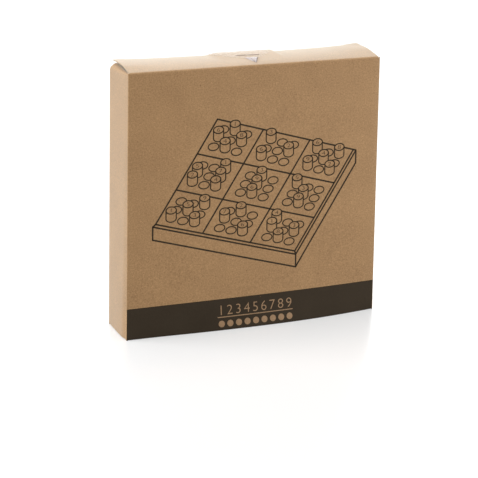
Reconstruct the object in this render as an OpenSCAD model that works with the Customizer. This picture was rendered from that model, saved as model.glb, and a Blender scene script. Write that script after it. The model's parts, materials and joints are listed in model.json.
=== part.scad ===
// A boxed sudoku game: a wooden board with 81 numbered pegs, standing in a tuck-top card carton.
// Millimetres, +Z up. The carton's front faces -Y, and the origin is the middle of its underside.
// The pegs size the board, and the board with its standing pegs sizes the carton.

/* [Pegs] */
// Diameter of a peg
peg_d = 9.6; // [6:0.1:14]
// Height that a peg stands out of its hole
peg_stand = 10; // [6:0.5:16]
// Bevel round both ends of a peg
peg_bevel = 0.6; // [0.2:0.1:1.5]
// Gap all round between a peg and its hole
peg_clear = 0.2; // [0.1:0.05:0.4]

/* [Board] */
// Depth of a peg hole
hole_depth = 10; // [6:0.5:16]
// Wood left under a hole
hole_floor = 8; // [4:0.5:16]
// Wood left between neighbouring holes in a box
hole_web = 2; // [1.5:0.1:5]
// Wood left between a box's outer holes and the edge of the box
box_margin = 8; // [5:0.5:14]
// Bevel along the edges of the board's face
edge_bevel = 2; // [0.5:0.25:4]
// Width of the grooves between the nine boxes
groove_w = 1.2; // [0.6:0.1:2]
// Depth of those grooves
groove_depth = 1; // [0.4:0.1:2]

/* [Carton] */
// Thickness of the card
card = 0.6; // [0.4:0.05:0.9]
// Inner radius of the upright creases
crease_in_r = 0.6; // [0.3:0.1:1.5]
// Room between the board and each side panel
side_gap = 6.4; // [4:0.1:14]
// Room between the peg tops and the front panel
front_gap = 2.3; // [1:0.1:6]
// Room between the board and the dust flaps above it
head_room = 8.7; // [6:0.1:20]
// Width of the glue flap
glue_flap_w = 14; // [8:0.5:20]
// Drop of the glue flap's ends from root to tip, and their distance from the creases
glue_flap_taper = 4; // [2:0.5:8]
// Length of the bottom's left and right flaps
bottom_flap_len = 34; // [15:0.5:50]

/* [Closure] */
// Height that the lid springs up at its back edge
lid_rise = 2; // [0.5:0.1:4]
// Height that the lid bows above a straight line
lid_bow = 1.2; // [0.2:0.1:2]
// Distance of the lid's ends from the carton's sides
lid_inset = 0.5; // [0.2:0.1:2]
// Width of the lock ears at the lid's back corners
ear_w = 9; // [6:0.5:16]
// Corner radius of the lock ears
ear_r = 2.5; // [1:0.5:5]
// Height of the tuck flap's lower edge above the board
tuck_gap = 1.5; // [1:0.1:3]
// Inward lean of the tuck flap in degrees
tuck_lean = 20; // [18:1:30]
// Corner radius of the tuck flap
tuck_r = 6; // [2:0.5:8]
// Width of the dust flaps at their tips
dust_tip_w = 7.4; // [5:0.1:12]
// Corner radius of the dust flaps' tips
dust_r = 1.5; // [0.5:0.5:3]
// Distance of the dust flaps from the back panel at their crease
dust_back_gap = 1.4; // [1:0.1:3]
// Gap between layers of card that move past each other
fold_gap = 0.3; // [0.2:0.05:0.5]

/* [Seal and leaflet] */
// Diameter of the round seal
seal_d = 38; // [20:1:50]
// Thickness of the seal's film
film = 0.15; // [0.1:0.01:0.2]
// Thickness of the leaflet's paper
paper = 0.12; // [0.08:0.01:0.2]
// Height of the folded leaflet
leaflet_h = 105; // [60:1:140]
// Distance of the leaflet's ends from the board's ends
leaflet_inset = 1; // [0:0.5:30]
// Gap between the leaflet and what is on either side of it
leaflet_clear = 0.32; // [0.2:0.02:1]

/* [Hidden] */
$fn = 64;
CARD_COLOUR = "#b08a60";
CARD_INSIDE_COLOUR = "#c4a27a";
WOOD_COLOUR = "#d2a671";
PEG_COLOUR = "#e2bf8c";

// The board, from its pegs
boxes_a_side = 3;
holes_a_side = boxes_a_side * boxes_a_side;
hole_d = peg_d + 2 * peg_clear;
hole_pitch = hole_d + hole_web;
box_side = boxes_a_side * hole_d + (boxes_a_side - 1) * hole_web + 2 * box_margin;
board_side = boxes_a_side * box_side;
board_thick = hole_depth + hole_floor;
peg_len = hole_depth + peg_stand;

// The carton round the board, its standing pegs and the leaflet
leaflet_thick = 3 * paper;
back_gap = leaflet_thick + 2 * leaflet_clear;
floor_layers = 3;
floor_z = floor_layers * card;
carton_w = board_side + 2 * (side_gap + card);
carton_d = board_thick + peg_stand + front_gap + back_gap + 2 * card;
board_top_z = floor_z + board_side;
dust_z = board_top_z + head_room + card;
carton_h = dust_z + fold_gap + card;
front_y = -carton_d / 2;
back_y = carton_d / 2;
crease_r = crease_in_r + card;

// The lid, from its crease on the front panel to the crease of its tuck flap
lid_len = carton_d - card - fold_gap;
lid_half_w = carton_w / 2 - lid_inset;
lid_steps = 16;
ear_reach = card;

// The tuck flap starts just under the lid and reaches down to just above the board
tuck_half_w = lid_half_w - ear_w - fold_gap;
tuck_start = (card * (1 + sin(tuck_lean)) + fold_gap / 2) / cos(tuck_lean);
tuck_end = (carton_h + lid_rise - board_top_z - tuck_gap) / cos(tuck_lean);
tuck_fillet = min(tuck_r, 0.6 * (tuck_end - tuck_start));

// The dust flaps: the front edge leans 45 degrees to clear the lid, the back edge clears the tuck flap
dust_front = card + 3 * fold_gap;
dust_back = carton_d - card - dust_back_gap;
dust_back_taper = 0.2;
dust_len = (dust_back - dust_front - dust_tip_w) / (1 + dust_back_taper);

// The seal bends over the lid's back edge, clear of the back panel, and is slit half way round
seal_clear = film / 3;
seal_bend_r = carton_d - lid_len + seal_clear;
seal_slit = 45;
seal_slit_gap = 5;

// Steps of the rounds that are drawn as points
arc_steps = 8;

// Points on a round, between two angles
function arc(centre, r, from, to) =
    [for (i = [0:arc_steps])
        let(a = from + (to - from) * i / arc_steps)
        centre + r * [cos(a), sin(a)]];

// The unit vector from point a to point b
function toward(a, b) = (b - a) / norm(b - a);

// Points on the round that replaces the corner at b, between its neighbours a and c
function rounded_corner(a, b, c, r) =
    let(
        to_a = toward(b, a),
        to_c = toward(b, c),
        half = acos(to_a * to_c) / 2,
        centre = b + toward([0, 0], to_a + to_c) * r / sin(half),
        first = b + to_a * r / tan(half) - centre,
        last = b + to_c * r / tan(half) - centre
    )
    [for (i = [0:arc_steps])
        let(blend = i / arc_steps)
        centre + toward([0, 0], first * (1 - blend) + last * blend) * r];

// An outline given as [point, corner radius] pairs, in order, as plain points
function rounded_outline(corners) =
    let(n = len(corners))
    [for (i = [0:n - 1])
        let(r = corners[i][1])
        each r == 0
            ? [corners[i][0]]
            : rounded_corner(corners[(i + n - 1) % n][0], corners[i][0], corners[(i + 1) % n][0], r)];

// Height of the lid's outer face above its crease, at a distance from that crease
function lid_height(distance) =
    let(share = distance / lid_len)
    lid_rise * share + 4 * lid_bow * share * (1 - share);

// A solid with this outline in the Y-Z plane, centred across X
module across(width) {
    translate([-width / 2, 0, 0])
        rotate([90, 0, 90])
            linear_extrude(width)
                children();
}

// A wall with its outer face on Y = 0, ending half way round an upright crease at each end
module wall(length, bottom, top) {
    left = [crease_r - length / 2, crease_r];
    right = [length / 2 - crease_r, crease_r];
    outer = concat(arc(left, crease_r, -135, -90), arc(right, crease_r, -90, -45));
    inner = concat(arc(right, crease_in_r, -45, -90), arc(left, crease_in_r, -90, -135));
    translate([0, 0, bottom])
        linear_extrude(top - bottom)
            polygon(concat(outer, inner));
}

module front_panel() {
    color(CARD_COLOUR)
        translate([0, front_y, 0])
            wall(carton_w, card, carton_h - card);
}

module back_panel() {
    color(CARD_COLOUR)
        translate([0, back_y, 0])
            rotate([0, 0, 180])
                wall(carton_w, 2 * card, carton_h - card);
}

// side is -1 for the left panel and 1 for the right one
module side_panel(side) {
    color(CARD_COLOUR)
        translate([side * carton_w / 2, 0, 0])
            rotate([0, 0, side * 90])
                wall(carton_d, floor_z, dust_z - card);
}

// A strip folded in from the back panel and glued to the inside of the left panel
module glue_flap() {
    bottom = floor_z + glue_flap_taper;
    top = dust_z - card - glue_flap_taper;
    root = back_y - crease_r;
    tip = root - glue_flap_w;
    color(CARD_INSIDE_COLOUR)
        translate([-carton_w / 2 + 1.5 * card, 0, 0])
            across(card)
                polygon([
                    [root, bottom],
                    [root, top],
                    [tip, top - glue_flap_taper],
                    [tip, bottom + glue_flap_taper]
                ]);
}

// One layer of the bottom: a plate between two corners in plan
module floor_plate(layer, low, high) {
    color(CARD_COLOUR)
        translate([low[0], low[1], layer * card])
            cube([high[0] - low[0], high[1] - low[1], card]);
}

module bottom_outer_flap() {
    half_w = carton_w / 2 - crease_r;
    floor_plate(0, [-half_w, front_y], [half_w, back_y - fold_gap]);
}

module bottom_inner_flap() {
    half_w = carton_w / 2 - crease_r;
    floor_plate(1, [-half_w, front_y + card + fold_gap], [half_w, back_y]);
}

// side is -1 for the left flap and 1 for the right one
module bottom_side_flap(side) {
    half_d = carton_d / 2 - crease_r;
    outer = carton_w / 2;
    inner = outer - bottom_flap_len;
    floor_plate(2, [min(side * outer, side * inner), -half_d], [max(side * outer, side * inner), half_d]);
}

// The lid's outline in plan, from its crease at Y = 0
module lid_plan() {
    ear_start = lid_half_w - ear_w;
    ear_end = lid_len + ear_reach;
    polygon(rounded_outline([
        [[-lid_half_w, 0], 0],
        [[lid_half_w, 0], 0],
        [[lid_half_w, ear_end], ear_r],
        [[ear_start, ear_end], 0],
        [[ear_start, lid_len], 0],
        [[-ear_start, lid_len], 0],
        [[-ear_start, ear_end], 0],
        [[-lid_half_w, ear_end], ear_r]
    ]));
}

// A bowed sheet on the lid's curve, between two heights above the lid's outer face
module lid_sheet(low, high, reach) {
    stations = [for (i = [0:lid_steps]) reach * i / lid_steps];
    upper = [for (y = stations) [y, lid_height(y) + high]];
    lower = [for (i = [lid_steps:-1:0]) [stations[i], lid_height(stations[i]) + low]];
    across(carton_w)
        polygon(concat(upper, lower));
}

module lid() {
    color(CARD_COLOUR)
        translate([0, front_y, carton_h])
            intersection() {
                lid_sheet(-card, 0, lid_len + ear_reach);
                translate([0, 0, -carton_h / 2])
                    linear_extrude(carton_h)
                        lid_plan();
            }
}

module tuck_flap() {
    outline = rounded_outline([
        [[-tuck_half_w, -tuck_start], 0],
        [[tuck_half_w, -tuck_start], 0],
        [[tuck_half_w - fold_gap, -tuck_end], tuck_fillet],
        [[-tuck_half_w + fold_gap, -tuck_end], tuck_fillet]
    ]);
    color(CARD_COLOUR)
        translate([0, front_y + lid_len, carton_h + lid_rise])
            rotate([90 - tuck_lean, 0, 0])
                linear_extrude(card)
                    polygon(outline);
}

// side is -1 for the left flap and 1 for the right one
module dust_flap(side) {
    outline = rounded_outline([
        [[0, dust_front], 0],
        [[dust_len, dust_front + dust_len], dust_r],
        [[dust_len, dust_back - dust_back_taper * dust_len], dust_r],
        [[0, dust_back], 0]
    ]);
    color(CARD_COLOUR)
        translate([side * carton_w / 2, front_y, dust_z - card])
            mirror([side > 0 ? 1 : 0, 0, 0])
                linear_extrude(card)
                    polygon(outline);
}

// A stretch of the seal's bend over the lid's back edge, in the Y-Z plane, between two angles
module seal_bend(from, to) {
    centre = [lid_len, lid_rise - seal_bend_r];
    polygon(concat(
        arc(centre, seal_bend_r, from, to),
        arc(centre, seal_bend_r + film, to, from)
    ));
}

// The seal's upper half lies on the lid and goes half way round the bend
module seal_on_lid() {
    color("white", 0.4)
        translate([0, front_y, carton_h]) {
            intersection() {
                lid_sheet(0, film, lid_len + ear_reach);
                translate([0, lid_len, -carton_h / 2])
                    cylinder(d = seal_d, h = carton_h);
                translate([-carton_w / 2, 0, -carton_h / 2])
                    cube([carton_w, lid_len, carton_h]);
            }
            across(seal_d)
                seal_bend(seal_slit + seal_slit_gap, 90);
        }
}

// The seal's lower half comes round the bend and lies on the back panel
module seal_on_back() {
    bend_z = lid_rise - seal_bend_r;
    color("white", 0.4)
        translate([0, front_y, carton_h]) {
            across(seal_d)
                seal_bend(0, seal_slit - seal_slit_gap);
            intersection() {
                translate([0, lid_len + seal_bend_r, bend_z])
                    rotate([-90, 0, 0])
                        cylinder(d = seal_d, h = film);
                translate([-seal_d / 2, 0, bend_z - seal_d])
                    cube([seal_d, 2 * carton_d, seal_d]);
            }
        }
}

// A sheet folded once along its lower edge, standing between the board and the back panel
module leaflet() {
    width = board_side - 2 * leaflet_inset;
    color("ivory")
        translate([-width / 2, back_y - card - leaflet_clear - leaflet_thick, floor_z])
            difference() {
                cube([width, leaflet_thick, leaflet_h]);
                translate([-width, paper, paper])
                    cube([3 * width, paper, leaflet_h]);
            }
}

// Puts what is drawn flat, face up, on the board's place in the carton: standing, face to the front
module stood_in_carton() {
    translate([0, back_y - card - back_gap, floor_z + board_side / 2])
        rotate([90, 0, 0])
            children();
}

// Middle of the hole in a column or row, counted from 0
function hole_at(i) =
    (floor(i / boxes_a_side) - 1) * box_side + (i % boxes_a_side - 1) * hole_pitch;

// Digit at a row and column of a solved grid
function grid_digit(row, column) =
    (boxes_a_side * (row % boxes_a_side) + floor(row / boxes_a_side) + column) % holes_a_side + 1;

// The block's outline from the side: square at the back, bevelled at the face
module block_outline() {
    half = board_side / 2;
    polygon([
        [-half, 0],
        [half, 0],
        [half, board_thick - edge_bevel],
        [half - edge_bevel, board_thick],
        [edge_bevel - half, board_thick],
        [-half, board_thick - edge_bevel]
    ]);
}

module board() {
    color(WOOD_COLOUR)
        stood_in_carton()
            difference() {
                intersection() {
                    across(board_side)
                        block_outline();
                    rotate([0, 0, 90])
                        across(board_side)
                            block_outline();
                }
                for (line = [-0.5, 0.5]) {
                    translate([line * box_side - groove_w / 2, -board_side, board_thick - groove_depth])
                        cube([groove_w, 2 * board_side, board_thick]);
                    translate([-board_side, line * box_side - groove_w / 2, board_thick - groove_depth])
                        cube([2 * board_side, groove_w, board_thick]);
                }
                for (row = [0:holes_a_side - 1], column = [0:holes_a_side - 1])
                    translate([hole_at(column), hole_at(row), board_thick - hole_depth])
                        cylinder(d = hole_d, h = board_thick);
            }
}

module peg() {
    r = peg_d / 2;
    rotate_extrude()
        polygon([
            [0, 0],
            [r - peg_bevel, 0],
            [r, peg_bevel],
            [r, peg_len - peg_bevel],
            [r - peg_bevel, peg_len],
            [0, peg_len]
        ]);
}

// The nine pegs that carry one digit, in their holes
module pegs_digit(digit) {
    color(PEG_COLOUR)
        stood_in_carton()
            for (row = [0:holes_a_side - 1], column = [0:holes_a_side - 1])
                if (grid_digit(row, column) == digit)
                    translate([hole_at(column), hole_at(row), board_thick - hole_depth])
                        peg();
}

front_panel();
back_panel();
side_panel(-1);  // left_side_panel
side_panel(1);  // right_side_panel
glue_flap();
bottom_outer_flap();
bottom_inner_flap();
bottom_side_flap(-1);  // bottom_left_flap
bottom_side_flap(1);  // bottom_right_flap
lid();
tuck_flap();
dust_flap(-1);  // left_dust_flap
dust_flap(1);  // right_dust_flap
seal_on_lid();
seal_on_back();
leaflet();
board();
for (digit = [1:9])
    pegs_digit(digit);
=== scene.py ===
# %% [markdown]
# A boxed sudoku game, dressed
# The real object is a tuck-top carton folded from one sheet of kraft card. A wooden board stands in it
# with 81 round pegs, each with a digit on its end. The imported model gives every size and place, and this
# lesson puts looks on it: card that bends at its creases, printed ink, clear film, paper and wood.

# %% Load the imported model
import json
import math

import bmesh
import bpy
import numpy as np
from mathutils import Matrix, Vector


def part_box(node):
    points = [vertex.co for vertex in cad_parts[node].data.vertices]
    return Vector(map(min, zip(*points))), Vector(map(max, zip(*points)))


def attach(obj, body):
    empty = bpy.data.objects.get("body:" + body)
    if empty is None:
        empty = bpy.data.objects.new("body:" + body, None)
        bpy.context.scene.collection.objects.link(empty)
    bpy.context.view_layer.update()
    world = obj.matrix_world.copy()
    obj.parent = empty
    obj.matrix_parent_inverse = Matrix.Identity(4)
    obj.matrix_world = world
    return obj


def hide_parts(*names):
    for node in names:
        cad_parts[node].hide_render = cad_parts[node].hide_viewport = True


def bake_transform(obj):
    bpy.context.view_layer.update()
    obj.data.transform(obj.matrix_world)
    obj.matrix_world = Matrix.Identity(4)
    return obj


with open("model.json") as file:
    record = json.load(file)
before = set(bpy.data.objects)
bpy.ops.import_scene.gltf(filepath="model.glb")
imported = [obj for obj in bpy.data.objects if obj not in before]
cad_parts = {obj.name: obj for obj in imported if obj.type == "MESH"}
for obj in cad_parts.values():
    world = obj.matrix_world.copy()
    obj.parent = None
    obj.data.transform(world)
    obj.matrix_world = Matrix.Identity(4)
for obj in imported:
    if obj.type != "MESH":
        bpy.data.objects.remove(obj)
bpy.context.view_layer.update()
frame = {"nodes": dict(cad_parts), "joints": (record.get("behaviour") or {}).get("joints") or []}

MM = 0.001
print("solids in the packed model:", len(frame["nodes"]))

# %% [markdown]
# Reading the sizes
# Nothing is measured twice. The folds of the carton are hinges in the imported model, so their places give
# the carton's edges, and the boxes of the solids give the rest. Lengths are in metres.

# %% Sizes of the carton and the board
hinge_place = {joint["name"]: Vector(joint["pos_m"]) for joint in frame["joints"] if "pos_m" in joint}
FRONT_Y = hinge_place["lid_fold"].y
LID_Z = hinge_place["lid_fold"].z
LID_LENGTH = hinge_place["tuck_fold"].y - FRONT_Y
LID_RISE = hinge_place["tuck_fold"].z - LID_Z
SIDE_X = hinge_place["right_flap_fold"].x
DUST_Z = hinge_place["right_flap_fold"].z
BACK_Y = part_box("back_panel")[1].y
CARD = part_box("bottom_outer_flap")[1].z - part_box("bottom_outer_flap")[0].z
CREASE_R = 2 * CARD
board_low, board_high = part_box("board")
BOARD_SIDE = board_high.x - board_low.x
BOARD_THICK = board_high.y - board_low.y
BOARD_Z = (board_low.z + board_high.z) / 2
print("carton, mm:", [round(1000 * size, 2) for size in (2 * SIDE_X, BACK_Y - FRONT_Y, LID_Z)])

# %% [markdown]
# The camera
# The photograph was taken a little from the left and from above with a long lens. A camera could be aimed
# with a constraint. Here it stands on that line and is turned by its own three axes, because a photograph
# is seldom quite level, and so the carton's corners fall where they do there.

# %% Camera
CAMERA_AZIMUTH = math.radians(-23.756)
CAMERA_ELEVATION = math.radians(16.490)
CAMERA_ROLL = math.radians(0.967)
CAMERA_DISTANCE = 6.7935 * LID_Z
CAMERA_ASIDE = -0.0220 * LID_Z
CAMERA_DOWN = -0.1822 * LID_Z
SENSOR_WIDTH = 36.0
LENS = 135.565

def turned_axes(azimuth, elevation, roll):
    """The camera's right, up and backward directions."""
    back = Vector((
        math.sin(azimuth) * math.cos(elevation),
        -math.cos(azimuth) * math.cos(elevation),
        math.sin(elevation),
    ))
    level = Vector((math.cos(azimuth), math.sin(azimuth), 0))
    plumb = back.cross(level)
    right = math.cos(roll) * level + math.sin(roll) * plumb
    up = math.cos(roll) * plumb - math.sin(roll) * level
    return right, up, back

right, up, back = turned_axes(CAMERA_AZIMUTH, CAMERA_ELEVATION, CAMERA_ROLL)
camera_data = bpy.data.cameras.new("camera")
camera_data.sensor_width = SENSOR_WIDTH
camera_data.lens = LENS
camera = bpy.data.objects.new("camera", camera_data)
aim = Vector((0, 0, LID_Z / 2))
camera_place = aim + back * CAMERA_DISTANCE + right * CAMERA_ASIDE + up * CAMERA_DOWN
facing = Matrix((right, up, back)).transposed().to_4x4()
camera.matrix_world = Matrix.Translation(camera_place) @ facing
bpy.context.scene.collection.objects.link(camera)
bpy.context.scene.camera = camera
print("camera stands at", [round(x, 3) for x in camera_place])

# %% [markdown]
# Building materials from nodes
# Each finish is a small node tree. It could be wired by hand, but written down it stays with the sizes and
# can be read. A few helpers keep the trees short: one adds a node and fills its inputs with values or
# links, and one does a sum on sockets. Every pattern is read at the piece's own coordinates in
# millimetres, so a fibre or a wood pore has its real size on every piece.

# %% Helpers for nodes
def add_node(tree, kind, inputs=None, **settings):
    """A node with its settings, and inputs that are values or other nodes' outputs."""
    node = tree.nodes.new(kind)
    for name, value in settings.items():
        setattr(node, name, value)
    for key, value in (inputs or {}).items():
        if isinstance(value, bpy.types.NodeSocket):
            tree.links.new(value, node.inputs[key])
        else:
            node.inputs[key].default_value = value
    return node

def calc(tree, operation, *values):
    """The result of one sum, as a socket."""
    return add_node(tree, "ShaderNodeMath", dict(enumerate(values)), operation=operation).outputs[0]

def linear(red, green, blue):
    """A colour as it is picked on a screen, 0 to 255, in the linear values that shaders use. The numbers
    are those of the rule by which screens store colour."""
    shares = [value / 255 for value in (red, green, blue)]
    return [s / 12.92 if s <= 0.04045 else ((s + 0.055) / 1.055) ** 2.4 for s in shares] + [1.0]

print("red of a mid grey, linear:", round(linear(128, 128, 128)[0], 3))

# %% Helpers for materials
MM_PER_METRE = (1000, 1000, 1000)

def start_material(name):
    """A new material with one shader, and the piece's own coordinates in millimetres."""
    material = bpy.data.materials.new(name)
    material.use_nodes = True
    tree = material.node_tree
    tree.nodes.clear()
    shader = add_node(tree, "ShaderNodeBsdfPrincipled")
    add_node(tree, "ShaderNodeOutputMaterial", {"Surface": shader.outputs["BSDF"]})
    place = add_node(tree, "ShaderNodeTexCoord").outputs["Object"]
    millimetres = add_node(tree, "ShaderNodeMapping", {"Vector": place, "Scale": MM_PER_METRE})
    return material, tree, shader, millimetres.outputs["Vector"]

def noise(tree, place, scale, detail=2.0, roughness=0.5, distortion=0.0):
    """A noise value from 0 to 1, with scale in patches a millimetre."""
    inputs = {
        "Vector": place,
        "Scale": scale,
        "Detail": detail,
        "Roughness": roughness,
        "Distortion": distortion,
    }
    return add_node(tree, "ShaderNodeTexNoise", inputs).outputs["Fac"]

MIX_SHARE = 0
MIX_FIRST = 6
MIX_SECOND = 7
MIX_RESULT = 2

def blend_colours(tree, share, first, second):
    """A mix of two colours by a share from 0 to 1. The node's colour sockets are found by number."""
    inputs = {MIX_SHARE: share, MIX_FIRST: first, MIX_SECOND: second}
    return add_node(tree, "ShaderNodeMix", inputs, data_type="RGBA").outputs[MIX_RESULT]

def ramp(tree, value, low, high):
    """A value stretched so that low becomes 0 and high becomes 1, and cut off there."""
    inputs = {"Value": value, "From Min": low, "From Max": high}
    return add_node(tree, "ShaderNodeMapRange", inputs).outputs["Result"]

def roughen(tree, shader, height, strength, depth):
    """Fine bumps on a finish, from a height pattern, as deep as a length."""
    inputs = {"Height": height, "Strength": strength, "Distance": depth}
    bump = add_node(tree, "ShaderNodeBump", inputs)
    tree.links.new(bump.outputs["Normal"], shader.inputs["Normal"])

print("a pattern has", MM_PER_METRE[0], "units a metre")

# %% [markdown]
# Kraft card
# Kraft card is unbleached paper pulp. Seen close, it has short curly fibres, some paler and some darker,
# a cloudy tone where the pulp lay thicker, and a few dark flecks. A picture of card would repeat and blur,
# so the pattern is worked out. Fibres are the thin lines where a noise passes its middle value, broken up
# by a second noise. The card is a little worn and paler on its folds, which each mesh marks in an
# attribute named wear.

# %% Fibres and flecks
NOISE_MIDDLE = 0.5
FIBRE_CURL = 1.2
GAP_SCALE = 1.7
GAP_LEVELS = (0.48, 0.60)
FLECK_CORE = 0.5

def fibres(tree, place, scale, width):
    """Thin curly lines, broken in short pieces."""
    level = noise(tree, place, scale, detail=1.0, distortion=FIBRE_CURL)
    away = calc(tree, "ABSOLUTE", calc(tree, "SUBTRACT", level, NOISE_MIDDLE))
    line = ramp(tree, away, width, 0.0)
    broken = ramp(tree, noise(tree, place, GAP_SCALE * scale), *GAP_LEVELS)
    return calc(tree, "MULTIPLY", line, broken)

def flecks(tree, place, scale, size, share):
    """Small round dots in a share of the cells of a pattern."""
    cells = add_node(tree, "ShaderNodeTexVoronoi", {"Vector": place, "Scale": scale})
    dot = ramp(tree, cells.outputs["Distance"], size, FLECK_CORE * size)
    channels = add_node(tree, "ShaderNodeSeparateColor", {"Color": cells.outputs["Color"]})
    chosen = calc(tree, "LESS_THAN", channels.outputs[0], share)
    return calc(tree, "MULTIPLY", dot, chosen)

print("fibres have gaps below a level of", GAP_LEVELS[0])

# %% Kraft card material
PAPER_IOR = 1.3
FIBRE_SHEEN = 0.63
SHEEN_ROUGHNESS = 0.5
SHEEN_TINT = (0.93, 0.99, 0.94, 1.0)
CLOUD = {"scale": 0.05, "detail": 3.0}
GRAIN = {"scale": 1.1, "detail": 5.0, "roughness": 0.75}
PALE_FIBRES = {"scale": 0.35, "width": 0.020}
DARK_FIBRES = {"scale": 0.43, "width": 0.016}
DARK_FLECKS = {"scale": 0.16, "size": 0.09, "share": 0.14}
WEAR_PATCHES = {"scale": 0.6, "detail": 3.0}
WEAR_LEVELS = (-0.2, 1.4)
CARD_ROUGH_LEVELS = (-0.7, 1.7)
CARD_TONE = -0.655
CLOUD_WEIGHT = 0.34
GRAIN_WEIGHT = 1.95
PALE_FIBRE_WEIGHT = 0.36
DARK_FIBRE_WEIGHT = -0.30
FLECK_WEIGHT = -0.60
FIBRE_RELIEF = 0.4
CARD_BUMP = 0.05 * MM
CARD_BUMP_STRENGTH = 0.25

def kraft_card(name, deep, pale, worn):
    """Card whose tone runs from a deep to a pale colour, with a worn colour on its folds."""
    material, tree, shader, place = start_material(name)
    cloud = noise(tree, place, **CLOUD)
    grain = noise(tree, place, **GRAIN)
    pale_fibres = fibres(tree, place, **PALE_FIBRES)
    dark_fibres = fibres(tree, place, **DARK_FIBRES)
    dots = flecks(tree, place, **DARK_FLECKS)
    parts = (
        (cloud, CLOUD_WEIGHT),
        (grain, GRAIN_WEIGHT),
        (pale_fibres, PALE_FIBRE_WEIGHT),
        (dark_fibres, DARK_FIBRE_WEIGHT),
        (dots, FLECK_WEIGHT),
    )
    tone = CARD_TONE
    for part, weight in parts:
        tone = calc(tree, "MULTIPLY_ADD", part, weight, tone)
    colour = blend_colours(tree, ramp(tree, tone, 0.0, 1.0), deep, pale)
    wear = add_node(tree, "ShaderNodeAttribute", attribute_name="wear").outputs["Fac"]
    patches = ramp(tree, noise(tree, place, **WEAR_PATCHES), *WEAR_LEVELS)
    patchy = calc(tree, "MULTIPLY", wear, patches)
    colour = blend_colours(tree, patchy, colour, worn)
    tree.links.new(colour, shader.inputs["Base Color"])
    tree.links.new(ramp(tree, grain, *CARD_ROUGH_LEVELS), shader.inputs["Roughness"])
    height = calc(tree, "MULTIPLY_ADD", pale_fibres, FIBRE_RELIEF, grain)
    roughen(tree, shader, height, CARD_BUMP_STRENGTH, CARD_BUMP)
    shader.inputs["IOR"].default_value = PAPER_IOR
    shader.inputs["Sheen Weight"].default_value = FIBRE_SHEEN
    shader.inputs["Sheen Roughness"].default_value = SHEEN_ROUGHNESS
    shader.inputs["Sheen Tint"].default_value = SHEEN_TINT
    return material

card_face = kraft_card(
    "kraft_face", deep=linear(138, 101, 62), pale=linear(198, 156, 107), worn=linear(200, 165, 122)
)
card_inside = kraft_card(
    "kraft_inside", deep=linear(160, 128, 92), pale=linear(206, 173, 134), worn=linear(208, 178, 142)
)
card_edge = kraft_card(
    "kraft_cut_edge", deep=linear(166, 132, 94), pale=linear(210, 177, 138), worn=linear(214, 184, 148)
)
print("card materials:", card_face.name, card_inside.name, card_edge.name)

# %% [markdown]
# Printing ink
# The print is one dark brown ink, laid thinly on rough card: the grain shows through it, and a few pin
# holes let the card show. A plain dark colour would look like plastic, so the ink takes over the card's
# grain. The same finish serves the broad band and the fine lines.

# %% Ink material
INK_IOR = 1.2
INK_CLOUD = {"scale": 0.04, "detail": 2.0}
INK_GRAIN_WEIGHT = 0.6
INK_CLOUD_WEIGHT = 0.4
INK_LEVELS = (0.3, 0.75)
INK_ROUGH_LEVELS = (-1.6, 1.3)
INK_BUMP = 0.04 * MM
INK_BUMP_STRENGTH = 0.2
PIN_HOLES = {"scale": 0.30, "size": 0.10, "share": 0.10}
HOLE_SHOW = 0.45

def printing_ink(name, full, thin, card):
    """Ink whose tone wavers between full and thin, with pin holes down to the card."""
    material, tree, shader, place = start_material(name)
    grain = noise(tree, place, **GRAIN)
    cloud = noise(tree, place, **INK_CLOUD)
    tone = calc(tree, "MULTIPLY", cloud, INK_CLOUD_WEIGHT)
    tone = calc(tree, "MULTIPLY_ADD", grain, INK_GRAIN_WEIGHT, tone)
    colour = blend_colours(tree, ramp(tree, tone, *INK_LEVELS), full, thin)
    holes = calc(tree, "MULTIPLY", flecks(tree, place, **PIN_HOLES), HOLE_SHOW)
    colour = blend_colours(tree, holes, colour, card)
    tree.links.new(colour, shader.inputs["Base Color"])
    tree.links.new(ramp(tree, grain, *INK_ROUGH_LEVELS), shader.inputs["Roughness"])
    roughen(tree, shader, grain, INK_BUMP_STRENGTH, INK_BUMP)
    shader.inputs["IOR"].default_value = INK_IOR
    return material

brown_ink = printing_ink(
    "brown_ink", full=linear(53, 44, 33), thin=linear(67, 57, 45), card=linear(150, 118, 84)
)
print("ink:", brown_ink.name)

# %% [markdown]
# Wood
# The board and the pegs are cut from solid timber. A tree's rings are near-round shells about its heart,
# so the pattern is a distance from a far axis, rippled by noise. Cutting a solid pattern gives long grain
# on the faces and arcs on the ends with no further work. Fine dark pores run along the grain.

# %% Wood material
GRAIN_STRETCH = 0.06
RIPPLES = {"scale": 0.10, "detail": 3.0}
RING_RIPPLE = 3.0
RING_SHARPNESS = 2.2
RING_WEIGHT = 0.45
STREAKS = {"scale": 0.9, "detail": 4.0, "roughness": 0.6}
STREAK_WEIGHT = 0.55
STREAK_RELIEF = 0.4
PORES = {"scale": 2.6, "detail": 2.0}
PORE_LEVELS = (0.62, 0.72)
PORE_SHADE = 0.5
PORE_DARK = 0.35
WOOD_LEVELS = (0.15, 0.85)
WOOD_ROUGH_LEVELS = (-0.8, 1.5)
WOOD_BUMP = 0.06 * MM
WOOD_BUMP_STRENGTH = 0.3
X_AXIS = 0
Y_AXIS = 1

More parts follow.
